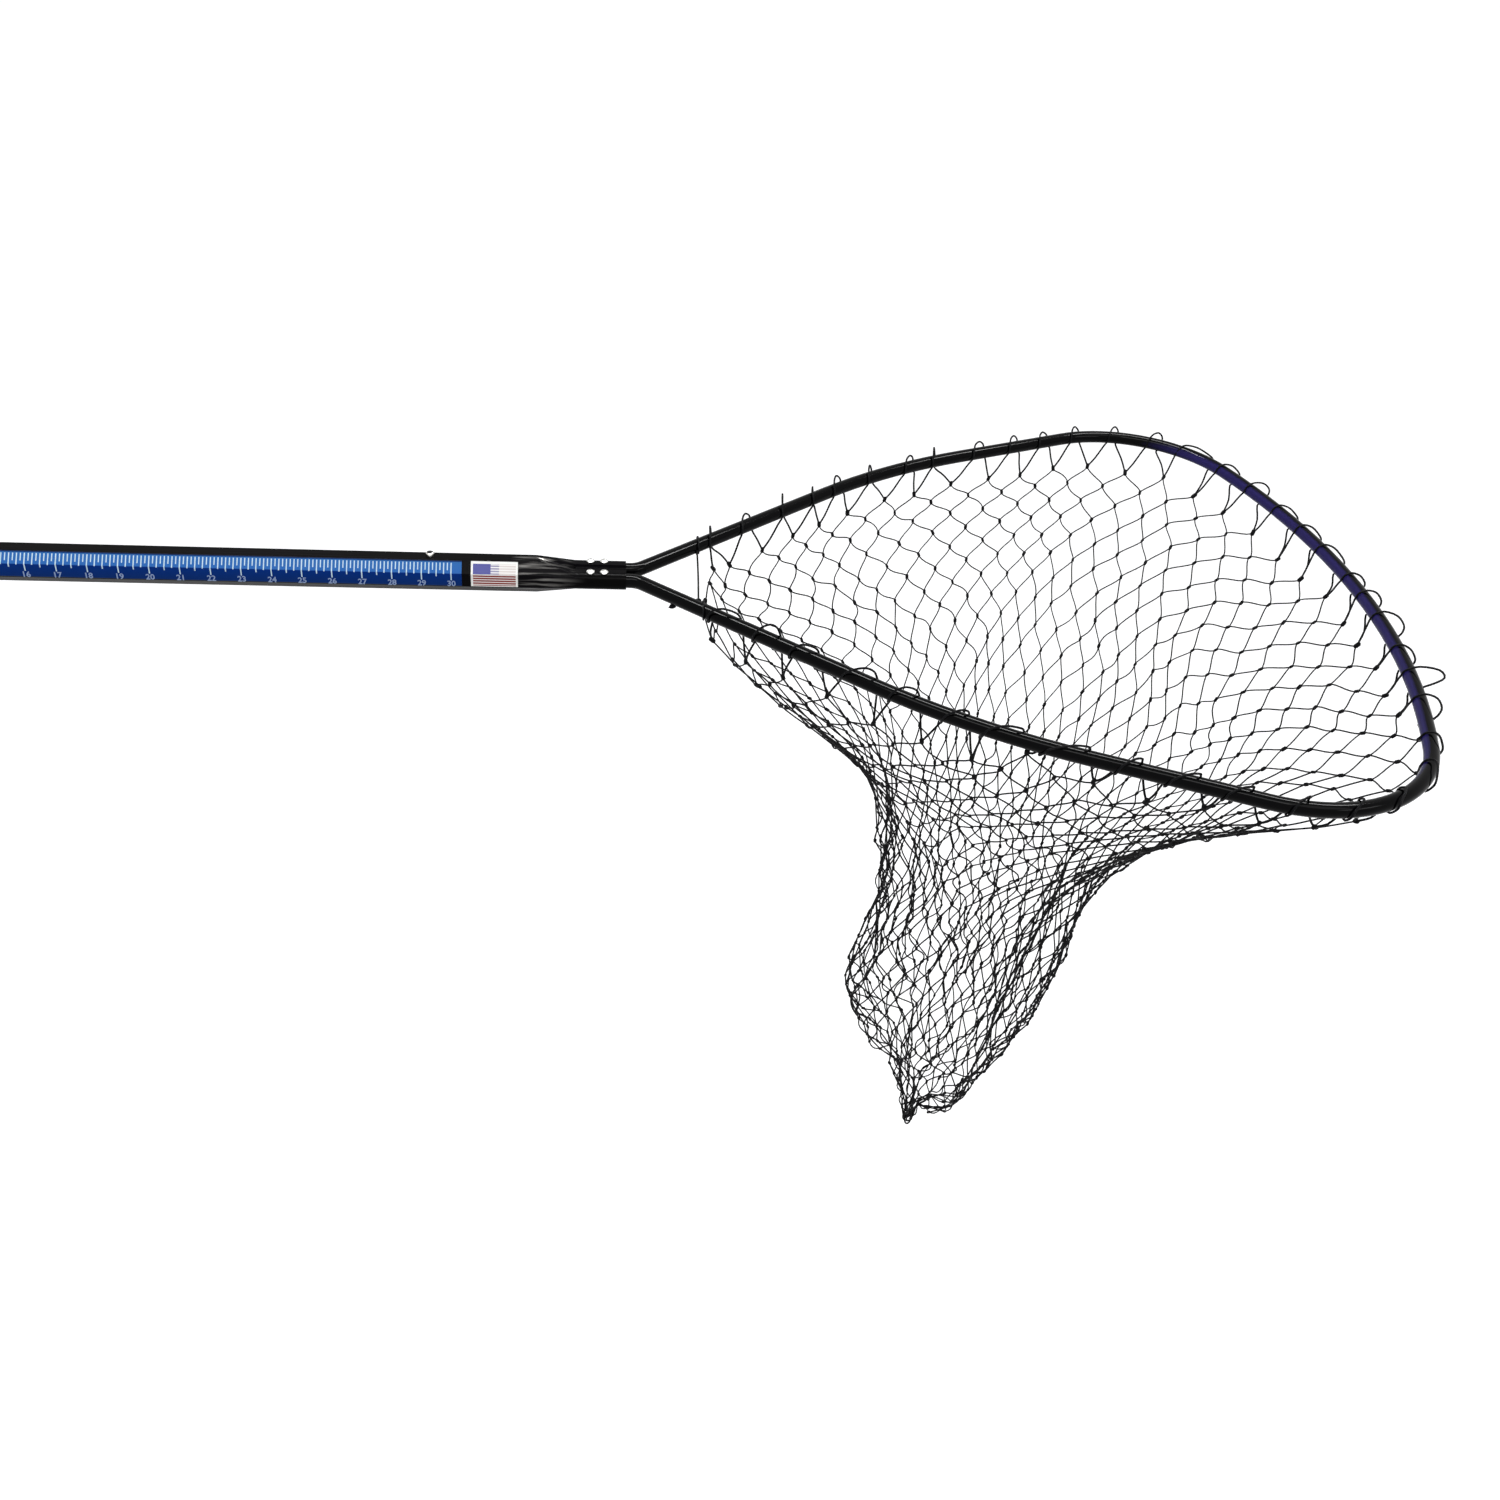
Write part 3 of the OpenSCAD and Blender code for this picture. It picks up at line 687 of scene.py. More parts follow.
@dataclass(frozen=True)
class RulerFilm(Finish):
    """Printed vinyl tape with a gloss overlaminate: pale scale lines on blue.

    Blue ink covers both faces, painted lighter on the sloping face for the glare it catches and dark on the
    upright one, with grey edges painted in as highlights along the tube's corners.
    The overlaminate gives it the sharper gloss.
    """

    scale: InchScale = InchScale()
    faces: TubeFaces = TubeFaces()
    # parts of an inch, length down the film and thickness of the line, in millimetres
    marks: tuple[Triple, ...] = ((8, 9.2, 0.9), (4, 12.8, 0.95), (2, 15.2, 0.95), (1, 18.8, 1.0))
    # the lines start this far down, and the scale ends this share of an inch past its end lines
    marks_top: float = 2.5 * MM
    marks_past: float = 0.03
    line: str = "#bcd4de"
    # share of the width down, and the ink there; the sloping face's lighter blue is painted glare and the
    # grey edges are painted highlights
    bands: tuple[tuple[float, str], ...] = (
        (0.0, "#3c4a60"), (0.02, "#3c4a60"), (0.03, "#081d48"), (0.06, "#12366c"), (0.075, "#2f66a8"),
        (0.47, "#2c62aa"), (0.5, "#042d78"), (0.95, "#0a2a66"), (0.975, "#3c4a60"), (1.0, "#3c4a60"))
    wave_mm: Triple = (30.0, 6.0, 6.0)
    wave_deep: float = 0.05 * MM

    def pattern(self, tree: Tree, place: Socket) -> dict[str, Any]:
        """Draw the bands, with painted glare and edge highlights, and the scale lines.

        Args:
            tree: The material's node tree.
            place: Object coordinates, in metres.

        Returns:
            What to link, by the name of the shader's input.
        """
        x = add_node(tree, "SeparateXYZ", (place,)).outputs[0]
        down = self.faces.down(tree, place)
        share = add_node(tree, "Math", (down, 2 * self.faces.face), operation="DIVIDE")
        # the ground carries painted glare on the sloping face and painted highlights at the edges
        ground = add_node(tree, "ValToRGB", (share,), self.bands)
        past = add_node(tree, "Math", (x, self.scale.last_mark), operation="SUBTRACT")
        inches = add_node(tree, "Math", (past, self.scale.inch), operation="DIVIDE")
        lines: Any = 0.0
        for parts, length, thick in self.marks:
            step = add_node(tree, "Math", (inches, float(parts)), operation="MULTIPLY")
            nearest = add_node(tree, "Math", (step,), operation="ROUND")
            side = add_node(tree, "Math", (step, nearest), operation="SUBTRACT")
            off = add_node(tree, "Math", (side,), operation="ABSOLUTE")
            half = thick * MM / 2 / self.scale.inch * parts
            on = add_node(tree, "Math", (off, half), operation="LESS_THAN")
            reach = add_node(tree, "Math", (down, length * MM), operation="LESS_THAN")
            mark = add_node(tree, "Math", (on, reach), operation="MULTIPLY")
            lines = add_node(tree, "Math", (lines, mark), operation="MAXIMUM")
        for value, test, limit in ((down, "GREATER_THAN", self.marks_top),
                                   (inches, "LESS_THAN", self.marks_past),
                                   (inches, "GREATER_THAN", -self.scale.inches - self.marks_past)):
            kept = add_node(tree, "Math", (value, limit), operation=test)
            lines = add_node(tree, "Math", (lines, kept), operation="MULTIPLY")
        ink = add_node(tree, "Mix", {0: lines, 6: ground, 7: linear(self.line)}, data_type="RGBA")
        wave = self.grain(tree, place, self.wave_mm)
        return {"Base Color": ink.outputs[2],
                "Normal": add_node(tree, "Bump", {"Height": wave, "Distance": self.wave_deep})}


@dataclass(frozen=True)
class StripeFilm(Finish):
    """Printed vinyl label with a gloss overlaminate: plain red stripes beside a violet block on white."""

    faces: TubeFaces = TubeFaces()
    start_x: float = 0.9586
    length: float = 40.6 * MM
    # the white edge: at the ends, at the top and at the bottom
    end_margin: float = 1.8 * MM
    top_margin: float = 2.8 * MM
    bottom_margin: float = 1.44 * MM
    red: str = "#7c1f19"
    period: float = 2.35 * MM
    first_stripe: float = 1.62 * MM
    # how much of the period is red, and how much of the ink the sloping face holds
    stripe: float = 0.66
    thin_ink: float = 0.3
    # the block, in shares: how far along it is solid and ends, its broken part's ink, its depth
    block: str = "#34388a"
    block_solid: float = 0.42
    block_end: float = 0.6
    block_thin: float = 0.6
    block_down: float = 0.98

    def pattern(self, tree: Tree, place: Socket) -> dict[str, Any]:
        """Draw the white ground, the stripes and the block.

        Args:
            tree: The material's node tree.
            place: Object coordinates, in metres.

        Returns:
            What to link, by the name of the shader's input.
        """
        x = add_node(tree, "SeparateXYZ", (place,)).outputs[0]
        down = self.faces.down(tree, place)
        along = add_node(tree, "Math", (x, self.start_x), operation="SUBTRACT")
        inside: Any = 1.0
        for value, test, limit in ((along, "GREATER_THAN", self.end_margin),
                                   (along, "LESS_THAN", self.length - self.end_margin),
                                   (down, "GREATER_THAN", self.top_margin),
                                   (down, "LESS_THAN", 2 * self.faces.face - self.bottom_margin)):
            kept = add_node(tree, "Math", (value, limit), operation=test)
            inside = add_node(tree, "Math", (inside, kept), operation="MULTIPLY")
        fallen = add_node(tree, "Math", (down, self.first_stripe), operation="SUBTRACT")
        step = add_node(tree, "Math", (fallen, self.period), operation="DIVIDE")
        part = add_node(tree, "Math", (step,), operation="FRACT")
        band = add_node(tree, "Math", (part, self.stripe), operation="LESS_THAN")
        # the sloping face's ink is thin and almost washed out
        low = add_node(tree, "Math", (down, self.faces.face), operation="GREATER_THAN")
        full = add_node(tree, "MapRange", {"Value": low, "To Min": self.thin_ink})
        ink = add_node(tree, "Math", (band, full), operation="MULTIPLY")
        # the block is solid on its left and breaks up into the stripes on its right
        solid, wide = (add_node(tree, "Math", (along, self.length * share), operation="LESS_THAN")
                       for share in (self.block_solid, self.block_end))
        broken = add_node(tree, "Math", (wide, band), operation="MULTIPLY")
        faint = add_node(tree, "Math", (broken, self.block_thin), operation="MULTIPLY")
        either = add_node(tree, "Math", (solid, faint), operation="MAXIMUM")
        upper = add_node(tree, "Math", (down, self.faces.face * self.block_down), operation="LESS_THAN")
        corner = add_node(tree, "Math", (either, upper), operation="MULTIPLY")
        ground: Any = linear(self.colour)
        for amount, colour in ((ink, self.red), (corner, self.block)):
            kept = add_node(tree, "Math", (amount, inside), operation="MULTIPLY")
            ground = add_node(tree, "Mix", {0: kept, 6: ground, 7: linear(colour)},
                              data_type="RGBA").outputs[2]
        return {"Base Color": ground}


class Finishes:
    """The part's materials, each made once."""

    def __init__(self) -> None:
        """Make every material."""
        # the handle's tubes: dull black with long streaks of gloss, and painted highlight streaks on the
        # flattened end
        self.outer = AnodisedTube("black_anodised_aluminium", "#070606", 0.26, 0.0, 0.2, 1.12).make()
        self.inner = AnodisedTube("grey_anodised_aluminium", "#1f2023", 0.36, 0.0, 0.4, 1.3,
                                  second_colour="#28292d").make()
        # the hoop: wet-looking black with sharp thin highlights, and a violet sheen painted on the bow's
        # inner side
        self.hoop = EnamelledHoop("black_stoving_enamel", "#030304", 0.1, 0.0, 0.5, 1.14).make()
        # small steel pieces: bright, the button brightest and the spring grey
        self.screw = PlatedSteel("zinc_plated_steel", "#d2d2cf", 0.22, 1.0).make()
        self.button = DrawnButton("nickel_plated_steel", "#d6d4cf", 0.2, 1.0).make()
        self.spring = PlatedSteel("spring_steel", "#8f9296", 0.35, 1.0).make()
        # collar, bush and cap: satin black, and the grip: matt
        self.plastic = MouldedPlastic("moulded_nylon", "#0e0e10", 0.42, 0.0, 0.3, 1.3).make()
        self.foam = FoamGrip("ground_eva_foam", "#121315", 0.85, 0.0, 0.2, 1.3).make()
        # the printed films, under a smooth clear skin, and the figures' flat ink
        self.ruler = RulerFilm("printed_vinyl_ruler", "#0c2080", 0.3, 0.0, 0.3, 1.12).make()
        self.stripe = StripeFilm("printed_vinyl_label", "#e6e6e2", 0.3, 0.0, 0.2).make()
        self.ink = Finish("pale_printing_ink", "#8496b8", 0.4, 0.0, 0.3, 1.12).make()
        # the net's thin twine and the thicker lacing, which is a little glossier
        self.net = LaidTwine("tarred_nylon_twine", "#040405", 0.6, 0.0, 0.3, 1.2).make()
        self.lace = LaidTwine("laid_nylon_cord", "#040405", 0.5, 0.0, 0.3, 1.2, lay_mm=3.0).make()


# ---------------------------------------------------------------- the handle

class CadNode(Enum):
    """CAD nodes that stay, and the finish that each of them gets."""

    OUTER_TUBE = ("outer_tube", "outer")
    INNER_TUBE = ("inner_tube", "inner")
    HOOP = ("hoop", "hoop")
    SCREWS = ("yoke_screws", "screw")
    COLLAR = ("tube_collar", "plastic")
    BUSH = ("guide_bush", "plastic")
    BUTTON = ("snap_button", "button")
    GRIP = ("grip", "foam")
    CAP = ("butt_cap", "plastic")
    RULER = ("ruler_label", "ruler")
    STRIPE = ("stripe_label", "stripe")


@dataclass
class Handle:
    """The handle's hard parts, dressed where they are, and the ruler's figures."""

    scale: InchScale = InchScale()
    # the figures: type size, how far the outline is made bolder, height of their middle, half thickness
    figure_size: float = 7.4 * MM
    figure_bold: float = 0.18 * MM
    figure_z: float = -3.6 * MM
    figure_t: float = 0.03 * MM
    # width of the spring strip's broken edges
    strip_edge: float = 0.12 * MM

    def dress(self, finishes: Finishes) -> None:
        """Give every CAD node that stays its finish.

        Args:
            finishes: All finishes.
        """
        for node in CadNode:
            name, finish = node.value
            material = getattr(finishes, finish)
            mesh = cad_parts[name].data
            mesh.materials.clear()
            mesh.materials.append(material)
            log.info("dressed %s in %s", name, material.name)

    def spring(self, finishes: Finishes) -> bpy.types.Object:
        """Make the button's spring strip from its CAD node, with its sheared edges broken.

        Its lower leg lies on the inner tube; its upper one, which the button presses down, is left where the
        CAD node has it.

        Args:
            finishes: All finishes.

        Returns:
            The strip.
        """
        strip = bpy.data.objects.new("spring_strip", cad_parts["button_spring"].data.copy())
        bpy.context.scene.collection.objects.link(strip)
        deselect()
        strip.select_set(True)
        bpy.context.view_layer.objects.active = strip
        bpy.ops.object.mode_set(mode="EDIT")
        bpy.ops.mesh.select_all(action="SELECT")
        bpy.ops.mesh.remove_doubles(threshold=0.002 * MM)
        bpy.ops.mesh.dissolve_limited(angle_limit=math.radians(1))
        bpy.ops.object.mode_set(mode="OBJECT")
        edge = strip.modifiers.new("broken_edges", "BEVEL")
        edge.width, edge.segments, edge.limit_method = self.strip_edge, 2, "ANGLE"
        bpy.ops.object.modifier_apply(modifier=edge.name)
        bpy.ops.object.shade_smooth_by_angle(angle=math.radians(40))
        strip.data.materials.clear()
        strip.data.materials.append(finishes.spring)
        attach(strip, "grip_handle")
        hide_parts("button_spring")
        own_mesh(strip)
        return strip

    def figures(self, finishes: Finishes) -> bpy.types.Object:
        """Set the ruler's numbers along the upright face, one over each inch line.

        Args:
            finishes: All finishes.

        Returns:
            The numbers, as one piece.
        """
        face_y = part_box("ruler_label")[0].y
        scale = self.scale
        made = []
        for k in range(1, scale.inches + 1):
            deselect()
            bpy.ops.object.text_add(location=(0, 0, 0))
            text = bpy.context.object
            text.data.body = str(k)
            text.data.size = self.figure_size
            text.data.align_x = "CENTER"
            text.data.align_y = "CENTER"
            text.data.extrude = self.figure_t
            text.data.offset = self.figure_bold
            text.data.resolution_u = 3
            bpy.ops.object.convert(target="MESH")
            text.location = (scale.last_mark - (scale.inches - k) * scale.inch, face_y, self.figure_z)
            text.rotation_euler = (math.pi / 2, 0, 0)
            bpy.ops.object.transform_apply(location=True, rotation=True, scale=True)
            made.append(text)
        deselect()
        for text in made:
            text.select_set(True)
        bpy.context.view_layer.objects.active = made[0]
        bpy.ops.object.join()
        figures = bpy.context.object
        figures.name = figures.data.name = "ruler_figures"
        figures.data.materials.clear()
        figures.data.materials.append(finishes.ink)
        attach(figures, "net_head")
        log.info("ruler_figures: %d numbers", scale.inches)
        return figures


# ---------------------------------------------------------------- the hoop's line

@dataclass(frozen=True)
class HoopLine:
    """Centre line of the hoop's tube, from one leg round the bow to the other, in metres.

    Each half is a straight leg, a tight bend, a straight arm, the shoulder's wide bend, a
    straight run, the corner, and half of the bow. Lengths along X are measured from the yoke.
    """

    yoke_x: float = 1.094
    leg_y: float = 0.0097
    # how far the straight leg stands out of the yoke, and the bend after it
    lead: float = 0.003
    bend_r: float = 0.018
    # headings of the arm and of the run past the shoulder
    arm: float = math.radians(40.3)
    past_shoulder: float = math.radians(22.9)
    # where the two runs would cross, and the bend that joins them
    shoulder_x: float = 0.2715
    shoulder_r: float = 0.606
    corner_r: float = 0.122
    length: float = 0.689
    width: float = 0.660
    tube_r: float = 0.00635
    step: float = 0.0005

    def table(self) -> np.ndarray:
        """Trace the whole line.

        Returns:
            Rows of distance, x, y and heading at even steps.
        """
        a, b = self.arm, self.past_shoulder
        bend_end = np.array([self.lead + self.bend_r * math.sin(a),
                             self.leg_y + self.bend_r * (1 - math.cos(a))])
        shoulder_y = bend_end[1] + (self.shoulder_x - bend_end[0]) * math.tan(a)
        cut = self.shoulder_r * math.tan((a - b) / 2)
        arm_len = (self.shoulder_x - bend_end[0]) / math.cos(a) - cut
        cy = self.width / 2 - self.corner_r
        cx = self.shoulder_x + (cy + self.corner_r / math.cos(b) - shoulder_y) / math.tan(b)
        corner_start = np.array([cx - self.corner_r * math.sin(b), cy + self.corner_r * math.cos(b)])
        past_len = math.hypot(corner_start[0] - self.shoulder_x, corner_start[1] - shoulder_y) - cut
        ahead = cx - self.length
        bow_r = (cy ** 2 + ahead ** 2 - self.corner_r ** 2) / (2 * (self.length - cx - self.corner_r))
        bow_a = math.atan2(cy, cx - (self.length - bow_r))
        # length and change of heading of each stretch of one half
        stretches = [(self.lead, 0.0), (self.bend_r * a, a), (arm_len, 0.0),
                     (self.shoulder_r * (a - b), b - a), (past_len, 0.0),
                     (self.corner_r * (b + math.pi / 2 - bow_a), bow_a - b - math.pi / 2),
                     (bow_r * bow_a, -bow_a)]
        s, x, y, heading = 0.0, 0.0, self.leg_y, 0.0
        rows = [(s, x, y, heading)]
        for run, turn in stretches:
            n = max(int(math.ceil(run / self.step)), 1)
            for _ in range(n):
                turned = heading + turn / n
                x += run / n * math.cos((heading + turned) / 2)
                y += run / n * math.sin((heading + turned) / 2)
                s += run / n
                heading = turned
                rows.append((s, x, y, heading))
        half = np.array(rows)
        back = half[-2::-1].copy()
        back[:, 0] = 2 * half[-1, 0] - back[:, 0]
        back[:, 2] *= -1
        back[:, 3] = -math.pi - back[:, 3]
        out = np.concatenate([half, back])
        out[:, 1] += self.yoke_x
        return out


# ---------------------------------------------------------------- the netting

@dataclass
class Netting:
    """Knotted diamond netting, hung from the hoop and gathered at its lower end.

    Near the gathered end it is halved twice, by knots that take in two meshes for one. The knots
    start on the bag's pleated shape and are then relaxed: each bar keeps its length, the meshes
    keep apart, and the whole sags a little.
    """

    line: HoopLine = field(default_factory=HoopLine)
    loops: int = 42
    # knot to knot, the twine's thickness, and a knot's half sizes
    bar: float = 0.030
    twine: float = 1.5 * MM
    knot: Triple = (1.85 * MM, 1.75 * MM, 2.7 * MM)
    # how a knot's waist is drawn in, how far its ends lean apart, how much larger it is at the hoop
    waist: Triple = (0.84, 0.9, 1.0)
    apart: Triple = (0.16, 0.05, 0.0)
    rim_knot: float = 1.3
    # where the tip hangs ahead of the yoke, and how deep the bag is
    tip_x: float = 0.364
    depth: float = 0.752
    # height of the knots at the hoop, and where along the hoop the net begins
    rim_z: float = -0.00895
    rim_start: float = 0.078
    # share of the depth at which the funnel ends and the sack begins
    neck: float = 0.33
    # the lacing holds the first row so many bars from the hoop: share of the way round, least, most
    held: tuple[Triple, ...] = (
        (0.0, 0.5, 0.55), (0.03, 1.15, 1.25), (0.52, 1.1, 1.25), (0.62, 0.75, 0.85),
        (0.75, 0.65, 1.0), (0.9, 0.8, 1.25), (1.0, 1.2, 1.3))
    # the corner knot by the yoke sits up on the near arm
    corner: Triple = (0.0, 3.5 * MM, 12.0 * MM)
    # and the knot across from it hangs close below the far arm
    across: Triple = (8.0 * MM, 0.0, -6.0 * MM)
    # share of the depth at which the twine gathers it
    bottom: float = 0.989
    # shares of the depth below which a row takes in two meshes for one
    halvings: tuple[float, ...] = (0.72, 0.88)
    # where the meshes crowd together: share round, width, share down, height, amount
    crowds: tuple[tuple[float, ...], ...] = ((0.86, 0.11, 0.36, 0.07, 0.62), (0.55, 0.12, 0.76, 0.12, 0.55))
    # where they are drawn up, tight under the bow and beside the tail: the same five values
    lifts: tuple[tuple[float, ...], ...] = ((0.62, 0.10, 0.07, 0.08, 0.35), (0.66, 0.17, 0.94, 0.035, 0.032))
    # a row's drop in bars: at least, and as a share of what the girth leaves; the first row's more
    least_drop: float = 0.45
    drop_share: float = 0.95
    first_drop: float = 1.05
    # where down the bag the pleats set in, and in how much more of it they reach their full depth;
    # then the same for their deepening near the bottom, and how much girth they take in
    pleats_in: tuple[float, float] = (0.12, 0.38)
    pleats_low: tuple[float, float] = (0.75, 0.2)
    taken_in: float = 0.6
    # the pleats: depth, how much deeper near the bottom, number round, phase, turn with depth
    pleats: tuple[tuple[float, ...], ...] = (
        (0.05, 0.0, 3, 1.1, 2.0), (0.075, 0.05, 6, -0.7, -4.0), (0.05, 0.05, 11, 2.0, 3.0))
    # rounds of relaxing, and the share of them after which the net only settles; then, before and
    # after that: the pull to the pleated shape, and the upper knot's part in a bar's correction
    steps: int = 110
    settle: float = 0.85
    pull: tuple[float, float] = (0.08, 0.012)
    yielding: tuple[float, float] = (0.5, 0.12)
    # how short a bar may get, as a share of its length: in the net, and in its last three rows
    shortest: tuple[float, float] = (0.75, 0.3)
    # the pull that keeps the gathered knots and the one by the yoke at their places
    gathered_pull: float = 0.7
    corner_pull: float = 0.9
    # how much longer or shorter than the others a bar was knotted
    uneven: float = 0.03
    # how far knots stray from the pleated shape and sag in each round, by share of the depth
    stray: Table = ((0.0, 0.6, 0.9, 1.0), (0.1, 1.0, 1.0, 0.3))
    stray_m: float = 0.005
    sag: Table = ((0.0, 0.88, 0.95), (0.0003, 0.0003, 0.0))
    # the least gap between neighbours in a row, in bars
    least_gap: float = 0.22
    # how much of its slack a bar shows, by share of the depth: drawn nearly straight, then hanging
    hang: Table = ((0.0, 0.5), (0.3, 0.7))
    # how far a bar follows its knots' axes, how strongly it bows down and not aside, the most that
    # it bows as a share of its span, and the most that chance adds to the bow
    follow: float = 0.28
    droop: float = 0.7
    bow_most: float = 0.22
    bow_more: float = 0.6 * MM
    seed: int = 7
    # share of the depth, middle ahead of the tip, reach to the yoke and to the bow, half width
    # (all mm), and how far the hoop's outline has given way to an oval
    rings: tuple[tuple[float, ...], ...] = (
        (0.00, 36, 300, 300, 300, 0.00), (0.06, 36, 259, 179, 232, 0.36), (0.14, 34, 185, 127, 190, 0.66),
        (0.23, 30, 131, 145, 156, 0.86), (0.33, 26, 126, 116, 134, 0.97), (0.43, 22, 116, 102, 118, 1.0),
        (0.56, 18, 118, 114, 112, 1.0), (0.69, 20, 148, 79, 100, 1.0), (0.80, 22, 61, 40, 80, 1.0),
        (0.87, 12, 53, 36, 58, 1.0), (0.92, 0, 24, 38, 44, 1.0), (0.945, -4, 10, 9, 24, 1.0),
        (0.97, -7, 4, 4, 5, 1.0), (1.00, -7, 1.5, 1.5, 1.5, 1.0))

    def __post_init__(self) -> None:
        """Trace the closed rim: the hoop, and the cord that closes it across the yoke."""
        self.rng = np.random.default_rng(self.seed)
        self.table = table = self.line.table()
        keep = (table[:, 0] >= self.rim_start) & (table[:, 0] <= table[-1, 0] - self.rim_start)
        s, xy = table[keep, 0], table[keep, 1:3]
        self.gap = float(np.linalg.norm(xy[-1] - xy[0]))
        middle = (xy[0] + xy[-1]) / 2
        run = s - s[0] + self.gap / 2
        self.rim_run = np.concatenate([[0.0], run, [run[-1] + self.gap / 2]])
        self.rim_xy = np.concatenate([[middle], xy, [middle]])
        self.around = self.loops + 2
        self.ring_table = np.array(self.rings, float)
        self.ring_table[:, 1:5] *= MM

    def surface(self, u: np.ndarray, w: np.ndarray) -> np.ndarray:
        """Give places on the pleated bag.

        Args:
            u: Share of the way round, from the middle of the yoke's cord.
            w: Share of the depth.

        Returns:
            The places, one row each.
        """
        u = np.asarray(u, float)
        w = np.broadcast_to(np.asarray(w, float), u.shape)
        ring = self.ring_table
        middle, back, front, side, oval = (np.interp(w, ring[:, 0], ring[:, k]) for k in range(1, 6))
        for at, wide, level, tall, amount in self.crowds:
            off = u % 1.0 - at
            u = u - off * amount * np.exp(-((w - level) / tall) ** 2 - (off / wide) ** 2)
        a = math.pi - TURN * u
        # the pleats set in below the rim and take in the girth as they deepen
        deep, low = (np.clip((w - start) / growth, 0, 1)
                     for start, growth in (self.pleats_in, self.pleats_low))
        deep = deep ** 1.5
        folds = [depth + more * low for depth, more, *_ in self.pleats]
        pleat = sum(fold * np.cos(number * a + phase + turn * w)
                    for fold, (_, _, number, phase, turn) in zip(folds, self.pleats))
        size = 1 + deep * (pleat - self.taken_in * sum(folds))
        reach = np.where(np.cos(a) < 0, back, front)
        x = self.line.yoke_x + self.tip_x + middle + reach * np.cos(a) * size
        xy = np.stack([x, side * np.sin(a) * size], -1)
        run = self.rim_run[-1] * (u % 1.0)
        rim = np.stack([np.interp(run, self.rim_run, self.rim_xy[:, k]) for k in (0, 1)], -1)
        xy = (1 - oval)[..., None] * rim + oval[..., None] * xy
        up = sum(amount * np.exp(-((u % 1.0 - at) / wide) ** 2 - ((w - level) / tall) ** 2)
                 for at, wide, level, tall, amount in self.lifts)
        z = self.rim_z - w * (self.depth + self.rim_z) * (1 - up)
        return np.concatenate([xy, z[..., None]], -1)

    def level_rows(self) -> list[int]:
        """Find how deep each row lies, so that its bars span the bag's girth there.

        Returns:
            The number of knots in each row.
        """
        n = self.around
        share = np.linspace(0, 1, 241)
        round_u = np.linspace(0, 1, 400)
        girth = np.array([np.linalg.norm(np.diff(self.surface(round_u, w), axis=0), axis=1).sum()
                          for w in share])
        walls = [np.linalg.norm(np.diff(self.surface(np.full(241, u), share), axis=0), axis=1)
                 for u in np.linspace(0, 1, 24, endpoint=False)]
        run = np.concatenate([[0], np.cumsum(np.mean(walls, 0))])
        levels, counts = [0.0], [n]
        while levels[-1] < self.bottom:
            w = levels[-1]
            due = sum(w > at for at in self.halvings)
            counts.append(n >> due)
            for _ in range(3):
                half = np.interp((w + levels[-1]) / 2, share, girth) / (2 * counts[-1])
                drop = math.sqrt(max(self.bar ** 2 - half ** 2, (self.least_drop * self.bar) ** 2))
                drop *= self.drop_share
                drop *= self.first_drop if len(levels) == 1 else 1.0
                w = float(np.interp(np.interp(levels[-1], share, run) + drop, run, share))
            levels.append(w)
        # the rows end on the gathering
        levels = [w * self.bottom / levels[-1] if w > self.neck else w for w in levels]
        self.levels = np.array(levels)
        self.rows = len(levels)
        return counts

    def lay(self) -> None:
        """Place the rows of knots, each row half a mesh on from the last."""
        n = self.around
        side = self.gap / 2 / self.rim_run[-1]
        stations = side + (1 - 2 * side) * (np.arange(n - 2) + 0.5) / (n - 2)
        stations[1:-1] += self.rng.uniform(-0.2, 0.2, n - 4) / n
        first = np.concatenate([[side * 0.9], stations, [1 - side * 0.93]])
        self.stations = stations * self.rim_run[-1] - self.gap / 2 + self.rim_start
        counts = self.level_rows()
        ends = np.cumsum([0, *counts])
        self.index = [np.arange(a, b) for a, b in zip(ends, ends[1:])]
        self.row_of = np.repeat(np.arange(self.rows), counts)
        self.joins: list[list[tuple[np.ndarray, np.ndarray]]] = []
        self.shares = [first]
        u, phase = first, 0.5
        rows = [self.surface(first, np.zeros(n))]
        rows[0][-1] += self.corner
        for r in range(1, self.rows):
            upper, lower = self.index[r - 1], self.index[r]
            if len(lower) == len(upper):
                # across the yoke the first row hangs from the near corner alone
                own = len(lower) - (1 if r == 1 else 0)
                self.joins.append([(upper, lower), (np.roll(upper, -1)[:own], lower[:own])])
                u = (u + np.append(u[1:], u[0] + 1)) / 2
                phase += 0.5
            else:
                # one knot takes in the mesh on each side of the knot above it
                after = np.roll(upper, -2)
                self.joins.append([(upper[0::2], lower), (upper[1::2], lower), (after[0::2], lower)])
                u = u[1::2]
                phase = (1 + phase) / 2
            even = (np.arange(len(lower)) + phase) / len(lower)
            mix = min(r / 8, 1.0)
            self.shares.append((1 - mix) * u + mix * even)
            rows.append(self.surface(self.shares[-1] % 1.0, np.full(len(lower), self.levels[r])))
        rows[1][0] = (rows[0][0] + rows[0][1]) / 2 + self.across
        self.start = np.concatenate(rows)

